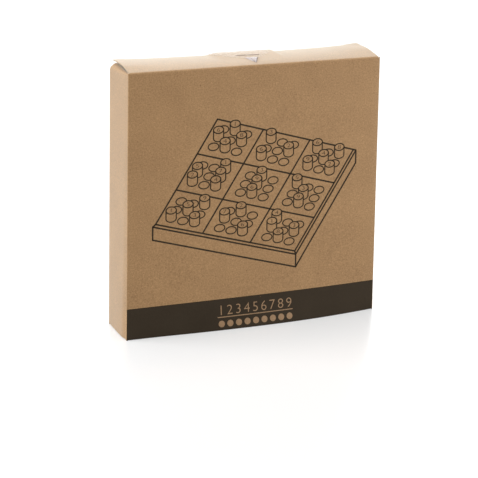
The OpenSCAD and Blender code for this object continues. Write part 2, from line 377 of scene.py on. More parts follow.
def timber(name, late, early, along, heart, ring, shift=None):
    """Wood with its grain along one axis. Heart is a point on the tree's axis, and ring is the width of a
    ring, both in millimetres. Shift names an attribute that moves the pattern."""
    material, tree, shader, place = start_material(name)
    if shift:
        moved = add_node(tree, "ShaderNodeAttribute", attribute_name=shift).outputs["Vector"]
        place = add_node(tree, "ShaderNodeVectorMath", {0: place, 1: moved}, operation="ADD").outputs[0]
    slow = [1.0, 1.0, 1.0]
    slow[along] = GRAIN_STRETCH
    stretched = add_node(tree, "ShaderNodeMapping", {"Vector": place, "Scale": slow}).outputs["Vector"]
    sides = [1.0, 1.0, 1.0]
    sides[along] = 0.0
    to_heart = [-length * share for length, share in zip(heart, sides)]
    centred = add_node(
        tree, "ShaderNodeMapping", {"Vector": place, "Location": to_heart, "Scale": sides}
    ).outputs["Vector"]
    radius = add_node(tree, "ShaderNodeVectorMath", {0: centred}, operation="LENGTH").outputs["Value"]
    ripple = noise(tree, stretched, **RIPPLES)
    rippled = calc(tree, "MULTIPLY_ADD", ripple, RING_RIPPLE * ring, radius)
    rings = calc(tree, "FRACT", calc(tree, "DIVIDE", rippled, ring))
    dark_side = calc(tree, "POWER", rings, RING_SHARPNESS)
    streaks = noise(tree, stretched, **STREAKS)
    pores = ramp(tree, noise(tree, stretched, **PORES), *PORE_LEVELS)
    tone = calc(tree, "MULTIPLY", dark_side, RING_WEIGHT)
    tone = calc(tree, "MULTIPLY_ADD", streaks, STREAK_WEIGHT, tone)
    colour = blend_colours(tree, ramp(tree, tone, *WOOD_LEVELS), early, late)
    pore_colour = [PORE_SHADE * channel for channel in late[:3]] + [1.0]
    colour = blend_colours(tree, calc(tree, "MULTIPLY", pores, PORE_DARK), colour, pore_colour)
    tree.links.new(colour, shader.inputs["Base Color"])
    tree.links.new(ramp(tree, streaks, *WOOD_ROUGH_LEVELS), shader.inputs["Roughness"])
    height = calc(tree, "SUBTRACT", calc(tree, "MULTIPLY", streaks, STREAK_RELIEF), pores)
    roughen(tree, shader, height, WOOD_BUMP_STRENGTH, WOOD_BUMP)
    return material

board_wood = timber(
    "oiled_board_wood",
    late=linear(158, 108, 62),
    early=linear(205, 158, 106),
    along=X_AXIS,
    heart=(0, 55, -40),
    ring=4.5,
)
peg_wood = timber(
    "sanded_peg_wood",
    late=linear(196, 152, 102),
    early=linear(226, 190, 143),
    along=Y_AXIS,
    heart=(9, 0, 12),
    ring=1.9,
    shift="grain_shift",
)
print("woods:", board_wood.name, peg_wood.name)

# %% [markdown]
# Film and paper
# The seal is a thin clear film: mostly see-through, with a gloss that catches the light. Glass would bend
# what is behind it, so the film is a glossy finish that covers only a share of what it lies on. Doubled or
# sharply creased film covers more, and its colour there is painted light: a pale lilac painted highlight
# for the glare on a fold, and dark painted shade along sharp ridges. The leaflet is plain matt paper,
# printed with faint empty grids, whose lines are worked out from the place on the sheet.

# %% Film material
HAZE = {"scale": 0.35, "detail": 3.0}
FILM_ROUGH_LEVELS = (-0.3, 3.5)
FILM_COVER = 0.10
# Painted highlight: the fold's doubled film is paler and covers more, standing in for the glare on it
FOLD_GLARE_COVER = 0.60
# Painted shade: the ridges' film is dark and covers more, standing in for the dark lines where the film is
# creased
RIDGE_SHADE_COVER = 0.65

def clear_film(name, deep, pale, cover):
    """Glossy film that hides only a share of what is under it."""
    material, tree, shader, place = start_material(name)
    haze = noise(tree, place, **HAZE)
    colour = blend_colours(tree, haze, deep, pale)
    tree.links.new(colour, shader.inputs["Base Color"])
    tree.links.new(ramp(tree, haze, *FILM_ROUGH_LEVELS), shader.inputs["Roughness"])
    shader.inputs["Alpha"].default_value = cover
    return material

seal_film = clear_film("clear_seal_film", linear(226, 208, 188), linear(240, 226, 209), FILM_COVER)
# Painted highlight: a pale lilac film for the glare on the fold
fold_glare_film = clear_film("folded_seal_film", linear(178, 163, 161), linear(208, 195, 194), FOLD_GLARE_COVER)
# Painted shade: a dark film for the ridges
ridge_shade_film = clear_film("creased_seal_film", linear(146, 130, 123), linear(178, 162, 155), RIDGE_SHADE_COVER)
print("film covers", FILM_COVER, "of what is under it")

# %% Paper material
PULP = {"scale": 1.5, "detail": 4.0, "roughness": 0.7}
PAPER_ROUGH_LEVELS = (-2.0, 1.4)
GRID_STEP = 5.5
GRID_LINE = 0.05
GRID_INK = 0.6

def leaflet_paper(name):
    """Paper with fine lines that cross at equal steps."""
    material, tree, shader, place = start_material(name)
    pulp = noise(tree, place, **PULP)
    colour = blend_colours(tree, pulp, linear(232, 227, 214), linear(247, 244, 236))
    axes = add_node(tree, "ShaderNodeSeparateXYZ", {"Vector": place}).outputs
    lines = 0.0
    for axis in (axes["X"], axes["Z"]):
        share = calc(tree, "FRACT", calc(tree, "DIVIDE", axis, GRID_STEP))
        near = calc(tree, "LESS_THAN", share, GRID_LINE)
        lines = calc(tree, "MAXIMUM", near, lines)
    colour = blend_colours(tree, calc(tree, "MULTIPLY", lines, GRID_INK), colour, linear(70, 60, 52))
    tree.links.new(colour, shader.inputs["Base Color"])
    tree.links.new(ramp(tree, pulp, *PAPER_ROUGH_LEVELS), shader.inputs["Roughness"])
    return material

grid_paper = leaflet_paper("leaflet_paper")
print("paper with a line every", GRID_STEP, "mm")

# %% [markdown]
# Folding card
# A carton is one flat sheet, so a piece of it is described the way a folder sees it: straight runs and
# round bends along a path, and an edge on each side. The outer face is a grid of points along that path,
# and Solidify gives it the card's thickness, with other materials inside and on the cut edge. A bend has
# an odd number of steps, so that no point lies at its middle. There a hinged fold can turn.

# %% How the carton stands
FLARE_LOW = 0.9 * MM
FLARE_HIGH = -0.5 * MM
CORNER_LEFTWARD = 0.6 * MM
CORNER_FORWARD = 1.4 * MM
CORNER_WIDE = 30 * MM
CORNER_DEEP = 20 * MM
CORNER_TALL = 20 * MM

def stood(x, z):
    """Places across the carton as it stands. It is a little wider at its bottom than at its top."""
    share = np.clip(np.asarray(z) / LID_Z, 0, 1)
    return x * (1 + (FLARE_LOW + (FLARE_HIGH - FLARE_LOW) * share) / SIDE_X)

def stand(points):
    """Points of a plain upright carton moved to where they are as it stands. Its lower left front corner
    is pushed out a little."""
    x, y, z = np.moveaxis(np.array(points, float), -1, 0)
    left = np.clip(1 - (SIDE_X + x) / CORNER_WIDE, 0, 1) ** 2
    front = np.clip(1 - (y - FRONT_Y) / CORNER_DEEP, 0, 1)
    push = left * front * np.exp(-np.clip(z, 0, None) / CORNER_TALL)
    return np.stack([stood(x, z) - CORNER_LEFTWARD * push, y - CORNER_FORWARD * push, z], axis=-1)

print("carton is wider at its foot by, mm:", round(2000 * (FLARE_LOW - FLARE_HIGH), 2))

# %% Paths of runs and bends
BEND_STEPS = 7
LEAD_IN = 0.3 * MM
BEND_END_WEAR = 0.35

def folded_path(start, heading, steps):
    """Points along a path, and how worn the card is there. A step is a run (length, count) or a bend
    (radius, degrees), where positive degrees turn to the left."""
    points = [np.array(start, float)]
    wear = [0.0]
    heading = math.radians(heading)
    for first, second in steps:
        if isinstance(second, int):
            step = first / second * np.array((math.cos(heading), math.sin(heading)))
            for _ in range(second):
                points.append(points[-1] + step)
                wear.append(0.0)
            continue
        turn = math.radians(second) / BEND_STEPS
        chord = 2 * first * math.sin(abs(turn) / 2)
        wear[-1] = BEND_END_WEAR
        for i in range(BEND_STEPS):
            middle = heading + turn / 2
            points.append(points[-1] + chord * np.array((math.cos(middle), math.sin(middle))))
            wear.append(1.0 if i + 1 < BEND_STEPS else BEND_END_WEAR)
            heading += turn
    return np.array(points), np.array(wear)

sample_path = folded_path((0, 0), 0, [(1.0, 2), (1.0, 90.0), (1.0, 2)])[0]
print("a right-angled fold has", len(sample_path), "points and ends at", sample_path[-1].round(3))

# %% Objects and shading
SHARP_ANGLE = math.radians(40)

def add_object(name, mesh, materials):
    """A mesh as an object in the scene, with its materials."""
    for material in materials:
        mesh.materials.append(material)
    piece = bpy.data.objects.new(name, mesh)
    bpy.context.scene.collection.objects.link(piece)
    return piece

def apply_modifiers(piece):
    """Turns what the modifiers make into the piece's plain mesh."""
    graph = bpy.context.evaluated_depsgraph_get()
    mesh = bpy.data.meshes.new_from_object(piece.evaluated_get(graph))
    old = piece.data
    piece.modifiers.clear()
    piece.data = mesh
    mesh.name = piece.name
    bpy.data.meshes.remove(old)
    return mesh

def smooth(mesh, angle=SHARP_ANGLE):
    """Smooth shading, with edges above an angle kept sharp."""
    mesh.shade_smooth()
    mesh.set_sharp_from_angle(angle=angle)

print("sharp edges above", round(math.degrees(SHARP_ANGLE)), "degrees")

# %% Card sheets
def card_sheet(name, points, outward, wear, keep=None, materials=None, thickness=CARD):
    """A sheet from a grid of points on its outer face, thickened away from the outward direction."""
    points = stand(points)
    rows, columns = points.shape[:2]
    index = np.arange(rows * columns).reshape(rows, columns)
    corners = (index[:-1, :-1], index[:-1, 1:], index[1:, 1:], index[1:, :-1])
    quads = np.stack(corners, axis=-1)
    quads = quads[keep] if keep is not None else quads.reshape(-1, 4)
    used, quads = np.unique(quads, return_inverse=True)
    quads = quads.reshape(-1, 4)
    spots = points.reshape(-1, 3)[used]
    corner = spots[quads]
    normals = np.cross(corner[:, 2] - corner[:, 0], corner[:, 3] - corner[:, 1])
    if (normals @ np.array(outward)).sum() < 0:
        quads = quads[:, ::-1]
    mesh = bpy.data.meshes.new(name)
    mesh.from_pydata(spots.tolist(), [], quads.tolist())
    worn = np.broadcast_to(wear, (rows, columns)).reshape(-1)[used].astype(np.float32)
    mesh.attributes.new("wear", "FLOAT", "POINT").data.foreach_set("value", worn)
    piece = add_object(name, mesh, materials or (card_face, card_inside, card_edge))
    solidify = piece.modifiers.new("card", "SOLIDIFY")
    solidify.thickness = thickness
    solidify.offset = -1
    solidify.use_even_offset = True
    solidify.use_quality_normals = True
    solidify.material_offset = 1
    solidify.material_offset_rim = 2
    smooth(apply_modifiers(piece))
    return piece

def spread(low, high, columns):
    """Rows of positions between a low and a high edge, which may change from row to row."""
    share = np.linspace(0, 1, columns + 1)
    low, high = np.atleast_1d(low), np.atleast_1d(high)
    return low[:, None] * (1 - share) + high[:, None] * share

def triangles(piece):
    """How many triangles a piece has."""
    return sum(len(face.vertices) - 2 for face in piece.data.polygons)

def finish_piece(piece, body, slot, *nodes):
    """The piece rides on its body, and stands for these solids."""
    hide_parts(*nodes)
    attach(piece, body)
    size = [round(1000 * length, 1) for length in piece.dimensions]
    print(piece.name, "mm:", size, "triangles:", triangles(piece))

print("card sheets are thick, mm:", round(1000 * CARD, 2))

# %% [markdown]
# The four walls
# The front and back panels take the four upright creases with them, and the side panels are the strips
# between. A bevelled box would give the creases too, but not panels that can bulge each in its own way.
# The front panel isn't flat: the bottom pushes it forward, most at its lower edge and a little to the
# right of the middle. One function gives its surface, because the print has to lie on it later.

# %% Surface of the front panel
BULGE_LOW = 5.3 * MM
BULGE_HIGH = 0.7 * MM
BULGE_FADE = 20 * MM
BULGE_X = 14 * MM
UPRIGHT_R = 0.9 * MM
FLAT_HALF_W = SIDE_X - UPRIGHT_R

def bulge(x, z):
    """How far the front panel stands forward of its plane."""
    aside = np.asarray(x) - BULGE_X
    reach = FLAT_HALF_W + np.where(aside < 0, BULGE_X, -BULGE_X)
    across = np.clip(1 - (aside / reach) ** 2, 0, None)
    height = np.clip(np.asarray(z) / LID_Z, 0, 1)
    belly = BULGE_HIGH * np.sin(math.pi * height)
    return across * (BULGE_LOW * np.exp(-np.asarray(z) / BULGE_FADE) * (1 - height) + belly)

print("front panel stands forward, mm:", [round(1000 * float(bulge(0, z * MM)), 2) for z in (0, 19, 80)])

# %% Curve of the lid above the front panel
LID_BOW = 1.2 * MM
LID_SLOPE = math.degrees(math.atan((LID_RISE + 4 * LID_BOW) / LID_LENGTH))

def ease(value):
    """A smooth step from 0 to 1."""
    value = np.clip(value, 0, 1)
    return value * value * (3 - 2 * value)

def lid_height(distance):
    """Height of the lid's outer face above its crease."""
    share = distance / LID_LENGTH
    return LID_RISE * share + 4 * LID_BOW * share * (1 - share)

bend_end = CREASE_R * (1 - math.sin(math.radians(LID_SLOPE)))
LID_BEND_Z = LID_Z + lid_height(bend_end) - CREASE_R * math.cos(math.radians(LID_SLOPE))
print("lid leaves its fold at a slope of, degrees:", round(LID_SLOPE, 2))

# %% Front and back panels
BOTTOM_Z = CREASE_R + LEAD_IN
UPRIGHT_WEAR = 0.30
FRONT_LEAN = 1.0
BACK_LEAN = 0.35
BACK_CORNER_DROP = 2.8 * MM
BACK_CORNER_SPAN = 1.6 * MM
CORNER_GAP = 0.2 * MM
CREASE_MARGIN = 0.02 * MM
WALL_COLUMNS = 40
WALL_ROWS = 48

def in_crease(x):
    """Whether a place across the front is in one of the two upright creases."""
    return np.abs(x) > FLAT_HALF_W + CREASE_MARGIN

def wall_with_creases(foot, tops, lean):
    """A wall across the front with a crease at each end, which goes on down past the wall's foot. Tops
    gives the wall's height from the place across, and lean how much of the front's bulge it has."""
    steps = [
        (LEAD_IN, 1),
        (UPRIGHT_R, 90.0),
        (2 * FLAT_HALF_W, WALL_COLUMNS),
        (UPRIGHT_R, 90.0),
        (LEAD_IN, 1),
    ]
    start = (-SIDE_X, FRONT_Y + UPRIGHT_R + LEAD_IN)
    path, wear = folded_path(start, -90, steps)
    share = np.linspace(0, 1, WALL_ROWS + 1)[:, None]
    bottom = np.where(in_crease(path[:, 0]), CORNER_GAP, foot)
    z = bottom + share * (tops(path[:, 0]) - bottom)
    x = np.broadcast_to(path[:, 0], z.shape)
    y = path[:, 1] - lean * bulge(x, z)
    return np.stack([x, y, z], axis=-1), UPRIGHT_WEAR * np.broadcast_to(wear, z.shape)

def front_tops(x):
    """The front panel ends below the lid's fold, and goes on up at its two corners."""
    return np.where(in_crease(x), LID_Z - CORNER_GAP, LID_BEND_Z - LEAD_IN)

def back_tops(x):
    """The back panel's upper corners are pressed down by the dust flaps."""
    into_corner = (np.abs(x) - (SIDE_X - BACK_CORNER_SPAN)) / BACK_CORNER_SPAN
    return LID_Z - CARD - BACK_CORNER_DROP * ease(into_corner)

points, wear = wall_with_creases(BOTTOM_Z, front_tops, FRONT_LEAN)
front_panel = card_sheet("front_panel_card", points, (0, -1, 0), wear)
finish_piece(front_panel, "carton", "kraft_card", "front_panel")

points, wear = wall_with_creases(BOTTOM_Z + CARD, back_tops, BACK_LEAN)
points[..., 1] *= -1
back_panel = card_sheet("back_panel_card", points, (0, 1, 0), wear)
finish_piece(back_panel, "carton", "kraft_card", "back_panel")

# %% [markdown]
# Side panels and glue flap
# The side panels end in the fold of the dust flaps, which covers all but the ends of the panel's upper
# edge. The flaps spring up against the lid, so their fold is a sharp one at the front, where the lid holds
# it down, and a wide soft one at the back. A bevel has one width, so the fold is a function of the place
# along it, for the panel and for the flap. The glue flap is the seam inside that makes the sheet a tube.

# %% Form of the sides
dust_low, dust_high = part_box("right_dust_flap")
DUST_FRONT = dust_low.y
DUST_BACK = dust_high.y
DUST_R_FRONT = 1.6 * MM
DUST_R_BACK = 4.2 * MM
DUST_LIFT_FRONT = 0.3 * MM
DUST_LIFT_BACK = 1.6 * MM
DUST_R_POWER = 1.5
DUST_LIFT_POWER = 2.5
SIDE_BULGE = 1.0 * MM
SIDE_BULGE_Y = -9.5 * MM
SIDE_BULGE_FADE = 60 * MM
SIDE_FRONT = FRONT_Y + UPRIGHT_R + LEAD_IN
SIDE_BACK = BACK_Y - UPRIGHT_R - LEAD_IN

def dust_bend(y):
    """Radius of the dust flap's fold at a place along it, and the flap's height above its hinge."""
    inside = np.clip(np.asarray(y), DUST_FRONT, DUST_BACK) - DUST_FRONT
    share = inside / (DUST_BACK - DUST_FRONT)
    radius = DUST_R_FRONT + (DUST_R_BACK - DUST_R_FRONT) * share**DUST_R_POWER
    lift = DUST_LIFT_FRONT + (DUST_LIFT_BACK - DUST_LIFT_FRONT) * share**DUST_LIFT_POWER
    return radius, lift

def side_bulge(y, z):
    """How far a side panel stands out of its plane, most near the front of its foot."""
    aside = np.asarray(y) - SIDE_BULGE_Y
    reach = SIDE_BACK + np.where(aside < 0, SIDE_BULGE_Y, -SIDE_BULGE_Y)
    across = np.clip(1 - (aside / reach) ** 2, 0, None)
    return SIDE_BULGE * across * np.exp(-np.asarray(z) / SIDE_BULGE_FADE)

print("dust fold radius, mm:", [round(1000 * float(dust_bend(y)[0]), 2) for y in (DUST_FRONT, DUST_BACK)])

# %% Side panels
SIDE_FOOT_Z = 0.1 * MM
SIDE_COLUMNS = 30
NOTCH = 0.1 * MM

def side_panel(name, side):
    """A strip between two creases, stepped at the top."""
    y = np.sort(np.concatenate([
        np.linspace(SIDE_FRONT, SIDE_BACK, SIDE_COLUMNS + 1),
        [DUST_FRONT - NOTCH, DUST_FRONT],
    ]))
    y = y[(y >= SIDE_FRONT) & (y <= SIDE_BACK)]
    radius, lift = dust_bend(y)
    tops = np.where(y >= DUST_FRONT - NOTCH / 2, DUST_Z - radius + lift - LEAD_IN, DUST_Z - CARD)
    bottom = SIDE_FOOT_Z + CREASE_R + LEAD_IN
    z = bottom + np.linspace(0, 1, WALL_ROWS + 1)[:, None] * (tops - bottom)[None, :]
    x = side * (SIDE_X + side_bulge(y, z))
    points = np.stack([x, np.broadcast_to(y, z.shape), z], axis=-1)
    return card_sheet(name, points, (side, 0, 0), 0.0)

SIDES = (("left", -1), ("right", 1))
for word, side in SIDES:
    panel = side_panel(word + "_side_panel_card", side)
    finish_piece(panel, "carton", "kraft_card", word + "_side_panel")

# %% Glue flap
GLUE_TAPER = 4.0 * MM
GLUE_STEPS = 8
glue_low, glue_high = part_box("glue_flap")
share = np.linspace(0, 1, GLUE_STEPS + 1)
taper = GLUE_TAPER * (1 - share)
z = spread(glue_low.z + taper, glue_high.z - taper, WALL_ROWS)
y = np.broadcast_to((glue_low.y + share * (glue_high.y - glue_low.y))[:, None], z.shape)
points = np.stack([np.full(z.shape, glue_low.x), y, z], axis=-1)
glue_flap = card_sheet("glue_flap_card", points, (-1, 0, 0), 0.0)
finish_piece(glue_flap, "carton", "kraft_card", "glue_flap")

# %% [markdown]
# The glued bottom
# Four flaps close the bottom, in three layers: the left and right ones inside, then the one from the back
# panel, then the one from the front panel outermost. A plain plate would hide how the carton is closed, so
# each flap is a sheet that leaves its wall in a round fold. The outer flap follows the front panel's bulge
# along its fold. The side flaps climb over the ends of the two long ones.

# %% Bottom flaps
BOTTOM_COLUMNS = 40
FLAP_STEPS = 8
BULGE_REACH = 15 * MM
CLIMB = 2.3 * MM
END_CUT = 2.6 * MM

def bottom_flap_path(height, reach):
    """The way down a wall and in under the board, as (distance from the wall, height)."""
    steps = [
        (LEAD_IN, 1),
        (CREASE_R, 90.0),
        (CLIMB, FLAP_STEPS),
        (reach - CREASE_R - CLIMB, FLAP_STEPS),
    ]
    return folded_path((0, height + CREASE_R + LEAD_IN), -90, steps)

def past_fold(path):
    """0 in the fold and 1 past it."""
    return ease((path[:, 0] - CREASE_R) / CLIMB)

def long_bottom_flap(name, layer, reach, wall_y, inward):
    """A flap from the front or the back panel, across the carton's width."""
    path, wear = bottom_flap_path(layer * CARD, reach)
    half = FLAT_HALF_W - END_CUT * past_fold(path)
    x = spread(-half, half, BOTTOM_COLUMNS)
    fade = np.clip(1 - path[:, :1] / BULGE_REACH, 0, 1)
    lean = FRONT_LEAN if inward > 0 else BACK_LEAN
    z = np.broadcast_to(path[:, 1:], x.shape)
    y = wall_y + inward * (path[:, :1] - lean * fade * bulge(x, z))
    return card_sheet(name, np.stack([x, y, z], axis=-1), (0, -inward, -1), wear[:, None])

def short_bottom_flap(name, side):
    """A flap from a side panel."""
    low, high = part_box("bottom_right_flap")
    path, wear = bottom_flap_path(SIDE_FOOT_Z, high.x - low.x)
    y = spread(np.full(len(path), low.y), np.full(len(path), high.y), FLAP_STEPS)
    z = np.broadcast_to(path[:, 1:], y.shape) + (2 * CARD - SIDE_FOOT_Z) * past_fold(path)[:, None]
    fade = np.clip(1 - path[:, :1] / BULGE_REACH, 0, 1)
    x = side * (SIDE_X - path[:, :1] + fade * side_bulge(y, z))
    return card_sheet(name, np.stack([x, y, z], axis=-1), (side, 0, -1), wear[:, None])

outer_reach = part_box("bottom_outer_flap")[1].y - FRONT_Y
inner_reach = BACK_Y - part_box("bottom_inner_flap")[0].y
outer_flap = long_bottom_flap("bottom_outer_flap_card", 0, outer_reach, FRONT_Y, 1)
finish_piece(outer_flap, "carton", "kraft_card", "bottom_outer_flap")
inner_flap = long_bottom_flap("bottom_inner_flap_card", 1, inner_reach, BACK_Y, -1)
finish_piece(inner_flap, "carton", "kraft_card", "bottom_inner_flap")
for word, side in SIDES:
    flap = short_bottom_flap("bottom_" + word + "_flap_card", side)
    finish_piece(flap, "carton", "kraft_card", "bottom_" + word + "_flap")

# %% [markdown]
# The lid
# The lid springs up at the back and bows between its folds. Its back corners are two lock ears, which
# stay flat where the tuck flap is folded down between them, so they stand a little higher. A flat plate on
# a hinge would show a gap at the fold. So the lid's sheet starts on the front panel and goes round the
# fold.

# %% Form of the lid
EAR_START = SIDE_X - 9.0 * MM
EAR_LIFT_LEFT = 0.1 * MM
EAR_LIFT_RIGHT = 0.7 * MM
EAR_LIFT_FROM = 0.75
LEFT_EDGE = {"lift": 0.35 * MM, "start": 0.10, "span": 0.30}
RIGHT_EDGE = {"lift": 0.40 * MM, "start": 0.15, "span": 0.45}
EDGE_SPAN = 28.0 * MM
LID_SAG = 0.7 * MM
BUMP_RISE = 1.2 * MM
BUMP_START = 9.0 * MM
BUMP_LEFT = (-22.0 * MM, -13.5 * MM)
BUMP_RIGHT = (21.6 * MM, 22.8 * MM)

def edge_lift(distance, lift, start, span):
    """How far a side edge of the lid is lifted. Start and span are shares of its length."""
    return lift * ease((distance / LID_LENGTH - start) / span)

def lid_lift(x, distance):
    """How far the lid stands above its plain curve: ears up, middle sagging, raised under the seal."""
    x, distance = np.broadcast_arrays(np.asarray(x, float), np.asarray(distance, float))
    edges = np.where(x < 0, edge_lift(distance, **LEFT_EDGE), edge_lift(distance, **RIGHT_EDGE))
    edges = edges * ease(1 - (SIDE_X - np.abs(x)) / EDGE_SPAN)
    to_back = (distance / LID_LENGTH - EAR_LIFT_FROM) / (1 - EAR_LIFT_FROM)
    ears = np.where(x < 0, EAR_LIFT_LEFT, EAR_LIFT_RIGHT) * ease(to_back)
    ears = ears * np.clip((np.abs(x) - EAR_START) / (SIDE_X - EAR_START), 0, 1)
    sag = LID_SAG * np.clip(1 - (x / EAR_START) ** 2, 0, 1) * ease(distance / LID_LENGTH)
    left = ease((x - BUMP_LEFT[0]) / (BUMP_LEFT[1] - BUMP_LEFT[0]))
    right = ease((BUMP_RIGHT[1] - x) / (BUMP_RIGHT[1] - BUMP_RIGHT[0]))
    bump = BUMP_RISE * left * right * ease((distance - BUMP_START) / (LID_LENGTH - BUMP_START))
    return edges + ears - sag + bump

print("lid is raised under the seal by, mm:", round(1000 * float(lid_lift(0, LID_LENGTH)), 2))

# %% Lid
EAR_REACH = 0.6 * MM
EAR_CORNER = 1.3 * MM
LEFT_INSETS = (0.7 * MM, 1.9 * MM)
RIGHT_INSETS = (1.3 * MM, 0.7 * MM)
TUCK_BEND_R = 0.9 * MM
LID_ROWS = 26
EAR_ROWS = 6
EAR_COLUMNS = 6
LID_COLUMNS = 120
LID_WEAR = 0.25

def hinge_fold(piece):
    """Bakes a sheet's placement into its mesh."""
    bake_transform(piece)

def lid_sheet():
    """The lid's outer face and the faces to keep of it."""
    fold_steps = [(LEAD_IN, 1), (CREASE_R, LID_SLOPE - 90.0)]
    fold, fold_wear = folded_path((0, LID_BEND_Z - LEAD_IN), 90, fold_steps)
    fold_end = fold[-1, 0]
    flat_end = LID_LENGTH - TUCK_BEND_R - LEAD_IN
    ear_end = LID_LENGTH + EAR_REACH
    rest = np.concatenate([
        np.linspace(fold_end, flat_end, LID_ROWS + 1)[1:],
        np.linspace(flat_end, ear_end, EAR_ROWS + 1)[1:],
    ])
    distance = np.concatenate([fold[:, 0], rest])
    height = np.concatenate([fold[:, 1], LID_Z + lid_height(rest)])
    into_corner = np.clip(distance - (ear_end - EAR_CORNER), 0, EAR_CORNER)
    round_off = EAR_CORNER - np.sqrt(EAR_CORNER**2 - into_corner**2)
    share = np.clip(distance / LID_LENGTH, 0, 1)
    left_end, right_end = (
        SIDE_X - front - (back - front) * share - round_off for front, back in (LEFT_INSETS, RIGHT_INSETS)
    )
    ear_start = np.full(len(distance), EAR_START)
    left = spread(-left_end, -ear_start, EAR_COLUMNS)
    middle = spread(-ear_start, ear_start, LID_COLUMNS)
    right = spread(ear_start, right_end, EAR_COLUMNS)
    x = np.concatenate([left, middle[:, 1:], right[:, 1:]], axis=1)
    y = np.broadcast_to(FRONT_Y + distance[:, None], x.shape)
    z = height[:, None] + lid_lift(x, distance[:, None])
    keep = np.ones((x.shape[0] - 1, x.shape[1] - 1), bool)
    keep[len(distance) - 1 - EAR_ROWS:, EAR_COLUMNS:EAR_COLUMNS + LID_COLUMNS] = False
    wear = np.zeros(len(distance))
    wear[:len(fold_wear)] = LID_WEAR * fold_wear
    return np.stack([x, y, z], axis=-1), keep, wear[:, None]

points, keep, wear = lid_sheet()
lid = card_sheet("lid_card", points, (0, 0, 1), wear, keep)
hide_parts("lid")
hinge_fold(lid)
print("lid rises to, mm:", round(1000 * points[..., 2].max(), 2))

# %% [markdown]
# Tuck flap and dust flaps
# The tuck flap leaves the lid's back edge and goes down inside the back panel, leaning in. The dust flaps
# leave the side panels in a round fold, which is what shows at the top of the carton's left side, and dip
# past it under the lid.

# %% Tuck flap
TUCK_LEAN = 20.0
TUCK_CORNER = 6.0 * MM
TUCK_SLIT = 0.4 * MM
TUCK_ROWS = 14
LEAD_POINTS = 1

def tuck_sheet():
    """The tuck flap's outer face, from the lid's back fold down, and two places about the fold's middle,
    at the mean height of the wavy fold."""
    start = LID_LENGTH - TUCK_BEND_R - LEAD_IN
    slope = math.degrees(math.atan((lid_height(start) - lid_height(start - MM)) / MM))
    first = (start, LID_Z + lid_height(start) + float(lid_lift(0, start)))
    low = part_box("tuck_flap")[0].z
    turn = -(90.0 + TUCK_LEAN + slope)
    drop = (first[1] - TUCK_BEND_R - low) / math.cos(math.radians(TUCK_LEAN))
    steps = [(LEAD_IN, LEAD_POINTS), (TUCK_BEND_R, turn), (drop, TUCK_ROWS)]
    path, wear = folded_path(first, slope, steps)
    to_end = np.linalg.norm(path - path[-1], axis=1)
    into_corner = np.clip(TUCK_CORNER - to_end, 0, TUCK_CORNER)
    round_off = TUCK_CORNER - np.sqrt(TUCK_CORNER**2 - into_corner**2)
    half = EAR_START - TUCK_SLIT - round_off
    x = spread(-half, half, LID_COLUMNS)
    y = np.broadcast_to(FRONT_Y + path[:, :1], x.shape)
    lift = lid_lift(x, start) - float(lid_lift(0, start))
    z = path[:, 1:] + lift
    path[:, 1] += (lift.min() + lift.max()) / 2
    half_way = 1 + LEAD_POINTS + BEND_STEPS // 2
    return np.stack([x, y, z], axis=-1), wear[:, None], path[half_way], path[half_way + 1]

points, wear, before, after = tuck_sheet()
tuck = card_sheet("tuck_flap_card", points, (0, 1, 0.3), wear)
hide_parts("tuck_flap")
hinge_fold(tuck)
print("tuck flap reaches down to, mm:", round(1000 * points[..., 2].min(), 2))

# %% Dust flaps
DUST_CORNER = 1.5 * MM
DUST_BACK_TAPER = 0.2
DUST_ROWS = 24
DUST_SPLIT = math.radians(10)
DUST_COLUMNS = 12
DUST_DIP = 1.6 * MM
DIP_IN = 4.0 * MM
DIP_OUT = 16.0 * MM
DUST_WEAR = 0.15

def dust_sheet(side):
    """A dust flap's outer face, from the side panel's upper edge inwards. The flap turns where the fold
    passes the hinge's diagonal, so the bend's steps are set apart on the two sides of that place. Past the
    fold the flap dips."""
    length = dust_high.x - dust_low.x
    flat = np.linspace(0, 1, DUST_ROWS + 1)[1:]
    turns = np.linspace(0, math.pi / 2, BEND_STEPS + 1)
    bend_in = DUST_R_FRONT * (1 - np.cos(turns))
    inward = np.concatenate([[0.0], bend_in, DUST_R_FRONT + (length - DUST_R_FRONT) * flat])
    into_corner = np.clip(inward - (length - DUST_CORNER), 0, DUST_CORNER)
    round_off = DUST_CORNER - np.sqrt(DUST_CORNER**2 - into_corner**2)
    front_edge = DUST_FRONT + inward + round_off
    back_edge = DUST_BACK - DUST_BACK_TAPER * inward - round_off
    y = spread(front_edge, back_edge, DUST_COLUMNS)
    radius, lift = dust_bend(y)
    hinge = math.pi / 4 - np.arcsin(lift / (radius * math.sqrt(2)))
    step = np.arange(BEND_STEPS + 1)[:, None]
    last = BEND_STEPS // 2
    before = (hinge[0] - DUST_SPLIT) * step / last
    after = hinge[0] + DUST_SPLIT + (math.pi / 2 - hinge[0] - DUST_SPLIT) * (step - last - 1) / last
    angle = np.where(step <= last, before, after)
    upright = np.zeros((1, y.shape[1]))
    lying = np.full((DUST_ROWS, y.shape[1]), math.pi / 2)
    angle = np.concatenate([upright, angle, lying])
    past = np.concatenate([np.zeros(2 + BEND_STEPS), flat])[:, None]
    beyond = (length - radius) * past
    dip = DUST_DIP * ease(beyond / DIP_IN) * (1 - ease((beyond - DIP_IN) / DIP_OUT))
    x = side * (SIDE_X - radius * (1 - np.cos(angle)) - beyond)
    z = DUST_Z + lift - radius * (1 - np.sin(angle)) - dip
    z[0] -= LEAD_IN
    wear = np.concatenate([[0.0], np.ones(BEND_STEPS + 1), np.zeros(DUST_ROWS)])
    return np.stack([x, y, z], axis=-1), wear[:, None]

for word, side in SIDES:
    points, wear = dust_sheet(side)
    flap = card_sheet(word + "_dust_flap_card", points, (side, 0, 1), DUST_WEAR * wear)
    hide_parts(word + "_dust_flap")
    hinge_fold(flap)
    print(flap.name, "reaches inwards, mm:", round(1000 * (dust_high.x - dust_low.x), 1))
